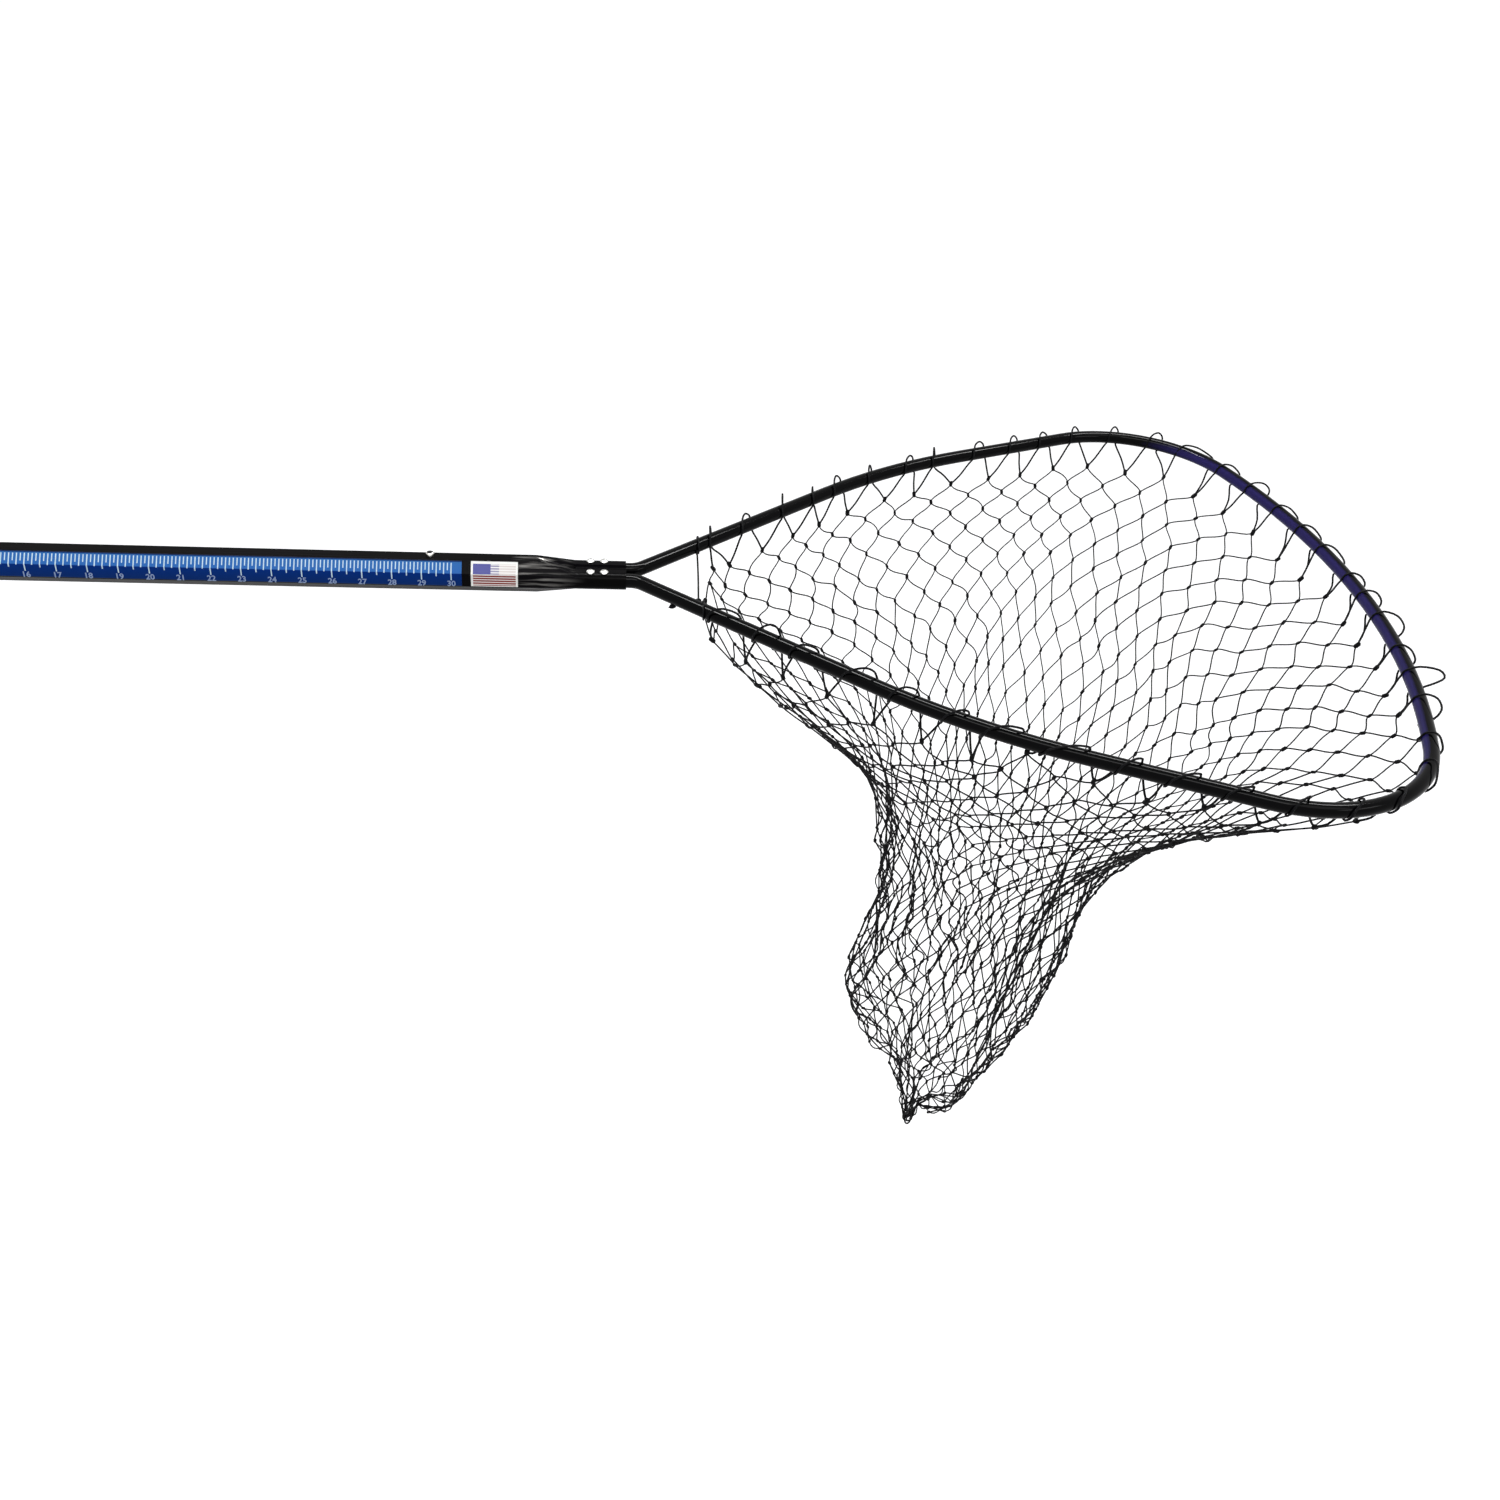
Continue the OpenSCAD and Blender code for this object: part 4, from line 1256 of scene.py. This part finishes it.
    def relax(self) -> None:
        """Pull the knots until every bar has its length.

        In each round the knots draw toward the pleated shape and sag, and then each row in turn
        takes up what its bars are too long or too short. The first row of bars hangs from the
        hoop, the lowest knots stay gathered, and the knot by the yoke stays at its place.
        """
        n, rng = self.around, self.rng
        p = self.start.copy()
        depth = self.levels[self.row_of]
        loose = np.interp(depth, *self.stray) * self.stray_m
        aim = self.start + rng.normal(0, 1, p.shape) * loose[:, None]
        length = [[self.bar * rng.uniform(1 - self.uneven, 1 + self.uneven, len(b)) for _, b in joins]
                  for joins in self.joins]
        share, fewest, most = np.array(self.held).T
        u = self.shares[1] % 1.0
        held = rng.uniform(np.interp(u, share, fewest), np.interp(u, share, most))
        length[0] = [run * held[:len(run)] for run in length[0]]
        gathered = self.row_of == self.rows - 1
        sag = np.interp(depth, *self.sag)
        for step in range(self.steps):
            settling = int(step >= self.steps * self.settle)
            p[n:] += self.pull[settling] * (aim[n:] - p[n:])
            p[n:, 2] -= sag[n:]
            p[gathered] += self.gathered_pull * (self.start[gathered] - p[gathered])
            p[n] += self.corner_pull * (self.start[n] - p[n])
            for r, joins in enumerate(self.joins):
                # the lacing's stations on the hoop don't move
                upper = self.yielding[settling] if r else 0.0
                least = self.shortest[int(r >= len(self.joins) - 3)]
                for (a, b), want in zip(joins, length[r]):
                    d = p[b] - p[a]
                    span = np.linalg.norm(d, axis=1) + 1e-9
                    off = (np.maximum(span - want, 0) + np.minimum(span - least * want, 0) * 0.5) / span
                    p[a] += d * (off * upper)[:, None]
                    p[b] -= d * (off * (1 - upper))[:, None]
                if r:
                    self.part(p, r + 1)
        self.knots = p
        self.length = length

    def part(self, p: np.ndarray, row: int) -> None:
        """Push apart neighbours in a row that come too close.

        Args:
            p: The places of all knots, which are changed.
            row: The row.
        """
        for side in (0, 1):
            a = self.index[row][side::2]
            b = np.roll(self.index[row], -1)[side::2]
            d = p[b] - p[a]
            span = np.linalg.norm(d, axis=1) + 1e-9
            off = (np.minimum(span - self.least_gap * self.bar, 0) * 0.25 / span)[:, None]
            p[a] += d * off
            p[b] -= d * off

    def axes(self) -> np.ndarray:
        """Find each knot's own axis, from the meshes above it to those below.

        Returns:
            A unit vector for each knot.
        """
        axis = self.rng.normal(0, 0.006, self.knots.shape)
        for joins in self.joins:
            for a, b in joins:
                d = self.knots[b] - self.knots[a]
                axis[a] += d
                axis[b] += d
        return unit(axis)

    def knot_shape(self) -> Shape:
        """Model one knot: a bead with a waist where the two bights lock.

        Returns:
            The bead, of radius one.
        """
        deselect()
        bpy.ops.mesh.primitive_uv_sphere_add(segments=7, ring_count=6, radius=1.0)
        bead = bpy.context.object
        bpy.ops.object.mode_set(mode="EDIT")
        pick_vertices(bead, lambda v: abs(v.z) < 0.1)
        bpy.ops.transform.resize(value=self.waist)
        for end in (1, -1):
            pick_vertices(bead, lambda v: v.z * end > 0.4)
            bpy.ops.transform.translate(value=[end * share for share in self.apart])
        bpy.ops.object.mode_set(mode="OBJECT")
        return Shape.of(bead)

    def bars(self, r0: int, r1: int, axis: np.ndarray) -> np.ndarray:
        """Draw the bars between rows r0 and r1 as bowed paths of six points.

        Args:
            r0: The first row.
            r1: The last row.
            axis: Each knot's axis.

        Returns:
            Array of bars by points by three.
        """
        p = self.knots
        pairs = [pair for joins in self.joins[r0:r1] for pair in joins]
        a, b = (np.concatenate([pair[k] for pair in pairs]) for k in (0, 1))
        want = np.concatenate([run for runs in self.length[r0:r1] for run in runs])
        # the stations on the hoop are the lacing's; only the last, at the yoke, is a knot of the netting
        real = (self.row_of[a] > 0) | (a == self.around - 1)
        a, b, want = a[real], b[real], want[real]
        shift = 0.6 * self.knot[2]
        pa = p[a] + axis[a] * shift
        pb = p[b] - axis[b] * shift
        chord = pb - pa
        dist = np.linalg.norm(chord, axis=1, keepdims=True)
        slack = np.maximum(want[:, None] - 2 * shift - dist, 0)
        t = np.linspace(0, 1, 6)[None, :, None]
        ta = unit(unit(chord) + self.follow * axis[a]) * dist
        tb = unit(unit(chord) + self.follow * axis[b]) * dist
        path = ((2 * t ** 3 - 3 * t ** 2 + 1) * pa[:, None] + (t ** 3 - 2 * t ** 2 + t) * ta[:, None]
                + (3 * t ** 2 - 2 * t ** 3) * pb[:, None] + (t ** 3 - t ** 2) * tb[:, None])
        way = self.rng.normal(0, 1, chord.shape) + np.array([0, 0, -self.droop])
        way = unit(way - unit(chord) * (way * unit(chord)).sum(-1, keepdims=True))
        # an arch of this height takes up the slack; a little more tells one bar from another
        hang = np.interp(self.levels[self.row_of[a]], *self.hang)[:, None]
        bow = np.minimum(hang * np.sqrt(slack * dist * 0.375), self.bow_most * dist)
        bow += self.rng.uniform(0, self.bow_more, dist.shape)
        return path + (np.sin(math.pi * t) * (way * bow)[:, None])

    def frames(self, ids: np.ndarray, axis: np.ndarray, size: float = 1.0) -> np.ndarray:
        """Place a knot at each of some knots' places.

        Args:
            ids: The knots' numbers.
            axis: Each knot's axis.
            size: How much larger than the netting's own knots they are.

        Returns:
            One 3 by 4 matrix for each.
        """
        up = axis[ids]
        ref = unit(self.rng.normal(0, 1, up.shape))
        u = unit(np.cross(ref, up))
        v = np.cross(up, u)
        scale = self.rng.uniform(0.88, 1.14, (len(ids), 1)) * size
        wide, thick, tall = self.knot
        return np.stack([u * wide * scale, v * thick * scale, up * tall * scale, self.knots[ids]], -1)

    def build(self, finishes: Finishes) -> list[bpy.types.Object]:
        """Make the two pieces of netting, above and below the neck.

        Args:
            finishes: All finishes.

        Returns:
            The two pieces.
        """
        self.lay()
        self.relax()
        axis = self.axes()
        shape = self.knot_shape()
        split = int(np.argmin(abs(self.levels - self.neck)))
        made = []
        # the twine is drawn a little thinner where the load pulls it tight
        spans = (("netting_funnel", "net_funnel", 0, split, 0.92),
                 ("netting_sack", "net_sack", split, self.rows - 1, 1.04))
        for name, node, r0, r1, stout in spans:
            mesh = CordMesh()
            mesh.strands(self.bars(r0, r1, axis), self.twine / 2 * stout)
            ids = np.concatenate(self.index[max(r0, 2):r1])
            mesh.copies(shape, self.frames(ids, axis))
            if r0 == 0:
                rim = np.append(self.index[1], self.index[0][-1])
                mesh.copies(shape, self.frames(rim, axis, self.rim_knot))
            piece = mesh.build(name)
            piece.data.materials.append(finishes.net)
            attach(piece, "net_head")
            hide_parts(node)
            faces = len(piece.data.polygons)
            log.info("%s: rows %d to %d of %d, %d faces", name, r0, r1, self.rows - 1, faces)
            made.append(piece)
        return made


@dataclass
class Lacing:
    """The heavier twine: round the hoop, across the yoke, down the seam and round the gathered end."""

    net: Netting
    # thickness of the lacing and of the seam's cord, and the lacing's gap to the tube
    cord: float = 1.9 * MM
    seam: float = 2.0 * MM
    gap: float = 0.3 * MM
    # share of the way round at which the seam runs, and metres from the hoop's end to the last knot
    seam_u: float = 0.716
    end_s: float = 0.052
    # some hairpins are drawn shut and some stand open; they stand up to this share of the hoop
    hairpins_to: float = 0.36
    hairpin_loose: Table = ((0.7, 0.9, 1.0, 1.3), (0.5, 0.8, 1.6, 2.3))
    # along the hoop, by share of its length: the loops' spread as a share of their pitch, their
    # lean along the tube, the lowest and highest slack in millimetres, and its part that stands out
    spread: Table = ((0.3, 0.42, 0.58, 0.64, 0.8), (0.16, 0.5, 0.45, 0.36, 0.52))
    lean: Table = ((0.0, 0.2, 0.34, 0.4), (0.85, 0.6, 0.3, 0.0))
    lowest: Table = ((0.0, 0.3, 0.42, 0.58, 0.64, 1.0), (4, 3, 2, 3, 2, 5))
    highest: Table = ((0.0, 0.3, 0.42, 0.58, 0.64, 1.0), (11, 9, 9, 19, 6, 12))
    outward: Table = ((0.25, 0.38, 0.58, 0.66), (0.25, 1.0, 1.0, 0.1))
    # the power of chance that leaves most loops near the lowest slack
    few_slack: float = 2.2
    # the cord at the yoke: its turns round each arm, and their lean
    yoke_turns: float = 1.1
    yoke_lean: tuple[float, float] = (0.85, -0.7)
    # the seam's two cords: each one's half thickness and its distance from their middle, as shares
    # of the seam, and the steps of its path to one turn
    seam_cord: float = 0.35
    seam_off: float = 0.3
    seam_steps: int = 6
    # the tie: turns of twine, and its long bight in millimetres from the gathering's middle
    tie_turns: float = 1.6
    bight: tuple[Triple, ...] = (
        (-11.0, 0.0, 36.0), (-9.35, -2.0, 22.32), (-5.5, -3.0, 7.2), (-1.54, -2.0, -7.0),
        (2.64, -2.0, -6.5), (5.5, -3.0, 9.0), (7.26, -2.0, 22.32), (9.35, 0.0, 34.2))
    seed: int = 11

    def __post_init__(self) -> None:
        """Start the draw of the loops' own looseness."""
        self.rng = np.random.default_rng(self.seed)

    def at(self, s: float) -> tuple[np.ndarray, np.ndarray, np.ndarray]:
        """Find where the hoop is, and how it lies, at a distance along it.

        Args:
            s: The distance.

        Returns:
            Its centre, its direction and its outward side.
        """
        table = self.net.table
        x, y, heading = (float(np.interp(s, table[:, 0], table[:, k])) for k in (1, 2, 3))
        along = np.array([math.cos(heading), math.sin(heading), 0.0])
        return np.array([x, y, 0.0]), along, np.array([-along[1], along[0], 0.0])

    def loop(self, s: float, runs: tuple[float, float], before: np.ndarray, after: np.ndarray) -> np.ndarray:
        """Lead the lacing from one knot, round the tube, to the next knot.

        Args:
            s: Distance along the hoop.
            runs: Distances along the hoop to the loops on both sides.
            before: The knot that it comes from.
            after: The knot that it goes to.

        Returns:
            The lacing's path.
        """
        centre, along, out = self.at(s)
        up = np.array([0, 0, 1.0])
        r = self.net.line.tube_r + self.cord / 2 + self.gap
        # narrow hairpins stand up on the far arm; round the bow and on the near arm wide ones lie over
        share = s / self.net.table[-1, 0]
        loose = float(self.rng.uniform(0.7, 1.3))
        if share < self.hairpins_to:
            loose = read(self.hairpin_loose, loose)
        spread = loose * read(self.spread, share)
        lean = read(self.lean, share)
        back, on = (0.5 * run * spread for run in runs)
        lowest, highest = read(self.lowest, share), read(self.highest, share)
        arch = (lowest + (highest - lowest) * self.rng.random() ** self.few_slack) * MM
        # round the bow the slack stands outwards, elsewhere it stands up
        outward = arch * read(self.outward, share)
        upward = arch - 0.75 * outward

        def place(t: float, o: float, z: float) -> np.ndarray:
            """Find a place by its distance along, outside and above the tube's centre.

            Args:
                t: Distance along the tube, before the lean.
                o: Distance outside its centre.
                z: Height above its centre.

            Returns:
                The place.
            """
            return centre + along * (t + lean * o) + out * o + up * z

        rise = place(-back * 1.1, -r, -0.2 * r)
        fall = place(on * 1.2, r * 0.5, -r * 0.87)
        route = [
            # up from the knot on the inner side
            before, before * 0.6 + rise * 0.4 - up * 2 * MM, before * 0.2 + rise * 0.8, rise,
            # over the top, with its slack
            place(-back, -r * 0.75, r * 0.68),
            place(-back * 0.9, -r * 0.1 + outward * 0.3, r + upward * 0.7),
            place(-back * 0.3, r * 0.4 + outward * 0.9, r + upward),
            place(on * 0.4, r * 0.75 + outward, r * 0.6 + upward * 0.8),
            place(on * 0.85, r + outward * 0.45, r * 0.3 + upward * 0.25),
            # down the outer side, under the tube and on to the next knot
            place(on, r, -r * 0.15), fall,
            place(on * 1.25, -r * 0.4, -r * 0.96), fall * 0.45 + after * 0.55, after]
        return smooth_path(np.array(route), 3)

    def piece(self, name: str, mesh: CordMesh, finishes: Finishes, *nodes: str) -> bpy.types.Object:
        """Finish one piece of twine: its mesh, material and body, with the CAD nodes it stands for hidden.

        Args:
            name: The piece's name.
            mesh: Its twine.
            finishes: All finishes.
            nodes: The CAD nodes that it stands for.

        Returns:
            The piece.
        """
        obj = mesh.build(name)
        obj.data.materials.append(finishes.lace)
        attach(obj, "net_head")
        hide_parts(*nodes)
        log.info("%s: %d faces", name, len(obj.data.polygons))
        return obj

    def rim(self, finishes: Finishes) -> list[bpy.types.Object]:
        """Lace the net to the hoop: one piece for each arm and one for the bow.

        Args:
            finishes: All finishes.

        Returns:
            The three pieces.
        """
        net = self.net
        knots = net.knots[net.index[1]]
        n = net.loops
        pitch = np.diff(net.stations, prepend=net.rim_start, append=net.table[-1, 0] - net.rim_start)
        side = n // 3
        groups = (("lacing_left", "rim_loops_left", range(0, side)),
                  ("lacing_bow", "rim_loops_bow", range(side, n - side)),
                  ("lacing_right", "rim_loops_right", range(n - side, n)))
        made = []
        for name, node, stations in groups:
            mesh = CordMesh()
            paths = [self.loop(float(net.stations[i]), (pitch[i], pitch[i + 1]), knots[i], knots[i + 1])
                     for i in stations]
            mesh.strands(np.array(paths), self.cord / 2, 8)
            if name == "lacing_left":
                self.yoke(mesh)
            made.append(self.piece(name, mesh, finishes, node))
        return made

    def yoke(self, mesh: CordMesh) -> None:
        """Add the cord that closes the net across the yoke: once round each arm, with two knots.

        Args:
            mesh: The twine of the arm's lacing, which gets the cord.
        """
        net = self.net
        cord = self.cord * 0.9
        r = net.line.tube_r + cord / 2 + self.gap

        def bead(place: np.ndarray, size: Triple) -> None:
            """Add a knot.

            Args:
                place: Its middle.
                size: Its half sizes along X, Y and Z, as shares of the cord's thickness.
            """
            frames = np.concatenate([np.diag([share * cord for share in size]), place[:, None]], 1)
            mesh.copies(net.knot_shape(), frames[None])

        ends = []
        for s, lean in zip((net.rim_start, net.table[-1, 0] - net.rim_start), self.yoke_lean):
            centre, along, out = self.at(s)
            a = np.linspace(0, TURN * self.yoke_turns, 24)
            shift = (a / TURN - self.yoke_turns / 2) * 1.2 * cord - lean * r * (np.cos(a) - 1)
            coil = (centre + np.outer(shift, along)
                    + r * (np.outer(np.cos(a), -out) + np.outer(np.sin(a), [0, 0, -1.0])))
            mesh.strands(coil[None], cord / 2, 8)
            ends.append(coil[0])
        # the lacing ends in a knot under the near arm
        centre, _, out = self.at(net.table[-1, 0] - self.end_s)
        bead(centre + (out * 0.4 - np.array([0, 0, 0.95])) * r, (2.2, 1.4, 1.3))
        last = net.knots[net.index[0][-1]]
        middle = ends[0] * 0.5 + last * 0.5 + [0.4 * MM, 0, -0.6 * MM]
        path = smooth_path(np.array([ends[0], middle, last]), 10)
        mesh.strands(path[None], cord / 2, 8)
        bead(last, (1.5, 1.3, 1.3))
        path = smooth_path(np.array([last, (last + ends[1]) / 2 + [0, 0, 0.6 * MM], ends[1]]), 4)
        mesh.strands(path[None], cord / 2, 8)

    def seam_line(self, finishes: Finishes) -> bpy.types.Object:
        """Lace the seam down the near side: every second row's knot lies on one line.

        Args:
            finishes: All finishes.

        Returns:
            The seam's two cords, as one piece.
        """
        net = self.net
        ids = [net.index[r][int(np.argmin(abs((net.shares[r] - self.seam_u + 0.5) % 1.0 - 0.5)))]
               for r in range(1, net.rows - 1, 2)]
        route = net.knots[ids] + self.rng.normal(0, 0.0008, (len(ids), 3))
        path = smooth_path(route, 9)
        along = unit(np.gradient(path, axis=0))
        u = unit(np.cross(along, [0.3, 1.0, 0.1]))
        v = np.cross(along, u)
        mesh = CordMesh()
        # the two cords wind round each other, half a turn apart
        for turn in (0.0, 0.5):
            a = TURN * (np.arange(len(path)) / self.seam_steps + turn)[:, None]
            wound = path + (np.cos(a) * u + np.sin(a) * v) * self.seam * self.seam_off
            mesh.strands(wound[None], self.seam * self.seam_cord)
        return self.piece("seam_lacing", mesh, finishes, "bag_seam")

    def tie(self, finishes: Finishes) -> bpy.types.Object:
        """Bind the gathered end: turns of twine and the bight that draws it down.

        Args:
            finishes: All finishes.

        Returns:
            The tie.
        """
        net = self.net
        low = net.knots[net.index[-1]]
        centre = low.mean(0)
        r = float(np.percentile(np.linalg.norm(low[:, :2] - centre[:2], axis=1), 70)) + self.seam / 2
        mesh = CordMesh()
        a = np.linspace(0, TURN * self.tie_turns, 60)
        coil = centre + np.stack([r * np.cos(a), r * np.sin(a), (a / TURN - 0.3) * self.seam * 0.95], -1)
        mesh.strands(coil[None], self.seam / 2, 8)
        bight = smooth_path(centre + np.array(self.bight) * MM, 8)
        mesh.strands(bight[None], self.seam * 0.5, 8)
        return self.piece("gathering_tie", mesh, finishes, "bottom_tie")

    def build(self, finishes: Finishes) -> list[bpy.types.Object]:
        """Make every piece of lacing.

        Args:
            finishes: All finishes.

        Returns:
            The pieces.
        """
        return [*self.rim(finishes), self.seam_line(finishes), self.tie(finishes)]


# ---------------------------------------------------------------- the studio

@dataclass
class Studio:
    """A camera, a pale floor and soft lamps."""

    # the camera's place, and its right, its up and its back
    place: Triple = (1.06063, -1.17305, 0.67285)
    right: Triple = (0.99406, -0.08107, 0.07258)
    up: Triple = (-0.01023, 0.59443, 0.80408)
    back: Triple = (-0.10833, -0.80005, 0.59007)
    lens_mm: float = 36.0
    sensor_mm: float = 36.0
    floor_z: float = -0.95
    floor_size: float = 40.0
    # the floor's own glow brings it up to white, and the air lights the object
    paper: str = "#d9d9d9"
    floor_glow: float = 0.66
    air_colour: str = "#f2f4f8"
    air: float = 0.44
    # what the lamps point at, and the sky lamp's power, direction and breadth
    aim: Triple = (1.1, 0.0, -0.1)
    sky_power: float = 0.5
    sky_aim: Triple = (-0.35, 0.45, -1.0)
    sky_angle: float = math.radians(30)

    def camera(self) -> bpy.types.Object:
        """Place the camera.

        Returns:
            The camera.
        """
        data = bpy.data.cameras.new("camera")
        data.lens, data.sensor_width = self.lens_mm, self.sensor_mm
        data.clip_start, data.clip_end = 0.01, 200.0
        camera = bpy.data.objects.new("camera", data)
        bpy.context.scene.collection.objects.link(camera)
        turn = Matrix((self.right, self.up, self.back)).transposed().to_4x4()
        camera.matrix_world = Matrix.Translation(Vector(self.place)) @ turn
        bpy.context.scene.camera = camera
        return camera

    @staticmethod
    def seen(tree: Tree) -> bpy.types.Node:
        """Tell which rays find white: the camera's own, and those by a reflection or through glass.

        Args:
            tree: The node tree.

        Returns:
            One for such a ray, and zero for one that lights the object.
        """
        ray = add_node(tree, "LightPath").outputs
        bent = add_node(tree, "Math", (ray["Is Glossy Ray"], ray["Is Transmission Ray"]), operation="MAXIMUM")
        return add_node(tree, "Math", (ray["Is Camera Ray"], bent), operation="MAXIMUM")

    def floor(self) -> bpy.types.Object:
        """Lay the floor: white to the camera, with the object's soft shadow left on it.

        Returns:
            The floor.
        """
        deselect()
        bpy.ops.mesh.primitive_plane_add(size=self.floor_size, location=(1.0, 0.0, self.floor_z))
        floor = bpy.context.object
        floor.name = "floor"
        bpy.ops.object.transform_apply(location=True)
        mat = bpy.data.materials.new("white_paper")
        mat.use_nodes = True
        tree = mat.node_tree
        tree.nodes.clear()
        paper = add_node(tree, "BsdfDiffuse", {"Color": linear(self.paper)})
        strength = add_node(tree, "Math", (self.seen(tree), self.floor_glow), operation="MULTIPLY")
        glow = add_node(tree, "Emission", {"Color": (1, 1, 1, 1), "Strength": strength})
        add_node(tree, "OutputMaterial", {"Surface": add_node(tree, "AddShader", (paper, glow))})
        floor.data.materials.append(mat)
        return floor

    def lamp(self, name: str, place: Triple, aim: Triple, size: tuple[float, float], power: float,
             sheen_only: bool = False) -> bpy.types.Object:
        """Hang one soft lamp, a strip or a panel.

        Args:
            name: The lamp's name.
            place: Where it hangs.
            aim: What it points at.
            size: Its length and width in metres; the length lies level.
            power: Its power in watts.
            sheen_only: Whether it is seen only in glossy surfaces, and lights nothing.

        Returns:
            The lamp.
        """
        data = bpy.data.lights.new(name, "AREA")
        data.shape = "RECTANGLE"
        data.size, data.size_y = size
        data.energy = power
        lamp = bpy.data.objects.new(name, data)
        bpy.context.scene.collection.objects.link(lamp)
        lamp.location = place
        lamp.rotation_euler = (Vector(aim) - Vector(place)).to_track_quat("-Z", "Y").to_euler()
        lamp.visible_diffuse = not sheen_only
        return lamp

    def sky(self) -> bpy.types.Object:
        """Hang the wide soft lamp that lights the whole floor evenly.

        Returns:
            The lamp.
        """
        data = bpy.data.lights.new("sky", "SUN")
        data.energy, data.angle = self.sky_power, self.sky_angle
        lamp = bpy.data.objects.new("sky", data)
        bpy.context.scene.collection.objects.link(lamp)
        lamp.rotation_euler = Vector(self.sky_aim).to_track_quat("-Z", "Y").to_euler()
        return lamp

    def build(self) -> None:
        """Set up the whole studio."""
        self.floor()
        self.lamp("key", place=(0.6, -1.3, 2.4), aim=self.aim, size=(2.6, 0.6), power=48.0)
        # a long strip that only draws the highlight along the hoop
        self.lamp("rim", place=(1.6, 0.9, 2.8), aim=(1.6, 0.0, -0.1), size=(3.8, 0.3), power=280.0,
                  sheen_only=True)
        self.lamp("fill", place=(3.2, -1.6, 1.4), aim=self.aim, size=(1.2, 0.3), power=10.0)
        self.sky()
        world = bpy.data.worlds.new("studio")
        world.use_nodes = True
        tree = world.node_tree
        tree.nodes.clear()
        air = add_node(tree, "Background", {"Color": linear(self.air_colour), "Strength": self.air})
        white = add_node(tree, "Background", {"Color": (1, 1, 1, 1), "Strength": 1.0})
        add_node(tree, "OutputWorld", {"Surface": add_node(tree, "MixShader", (self.seen(tree), air, white))})
        bpy.context.scene.world = world
        bpy.context.scene.view_settings.view_transform = "Standard"
        log.info("studio: camera, floor and four lamps")


def main() -> None:
    """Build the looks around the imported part, piece by piece."""
    studio = Studio()
    studio.camera()
    finishes = Finishes()
    handle = Handle()
    handle.dress(finishes)
    handle.spring(finishes)
    handle.figures(finishes)
    net = Netting()
    net.build(finishes)
    Lacing(net).build(finishes)
    studio.build()


if __name__ == "__main__":
    main()
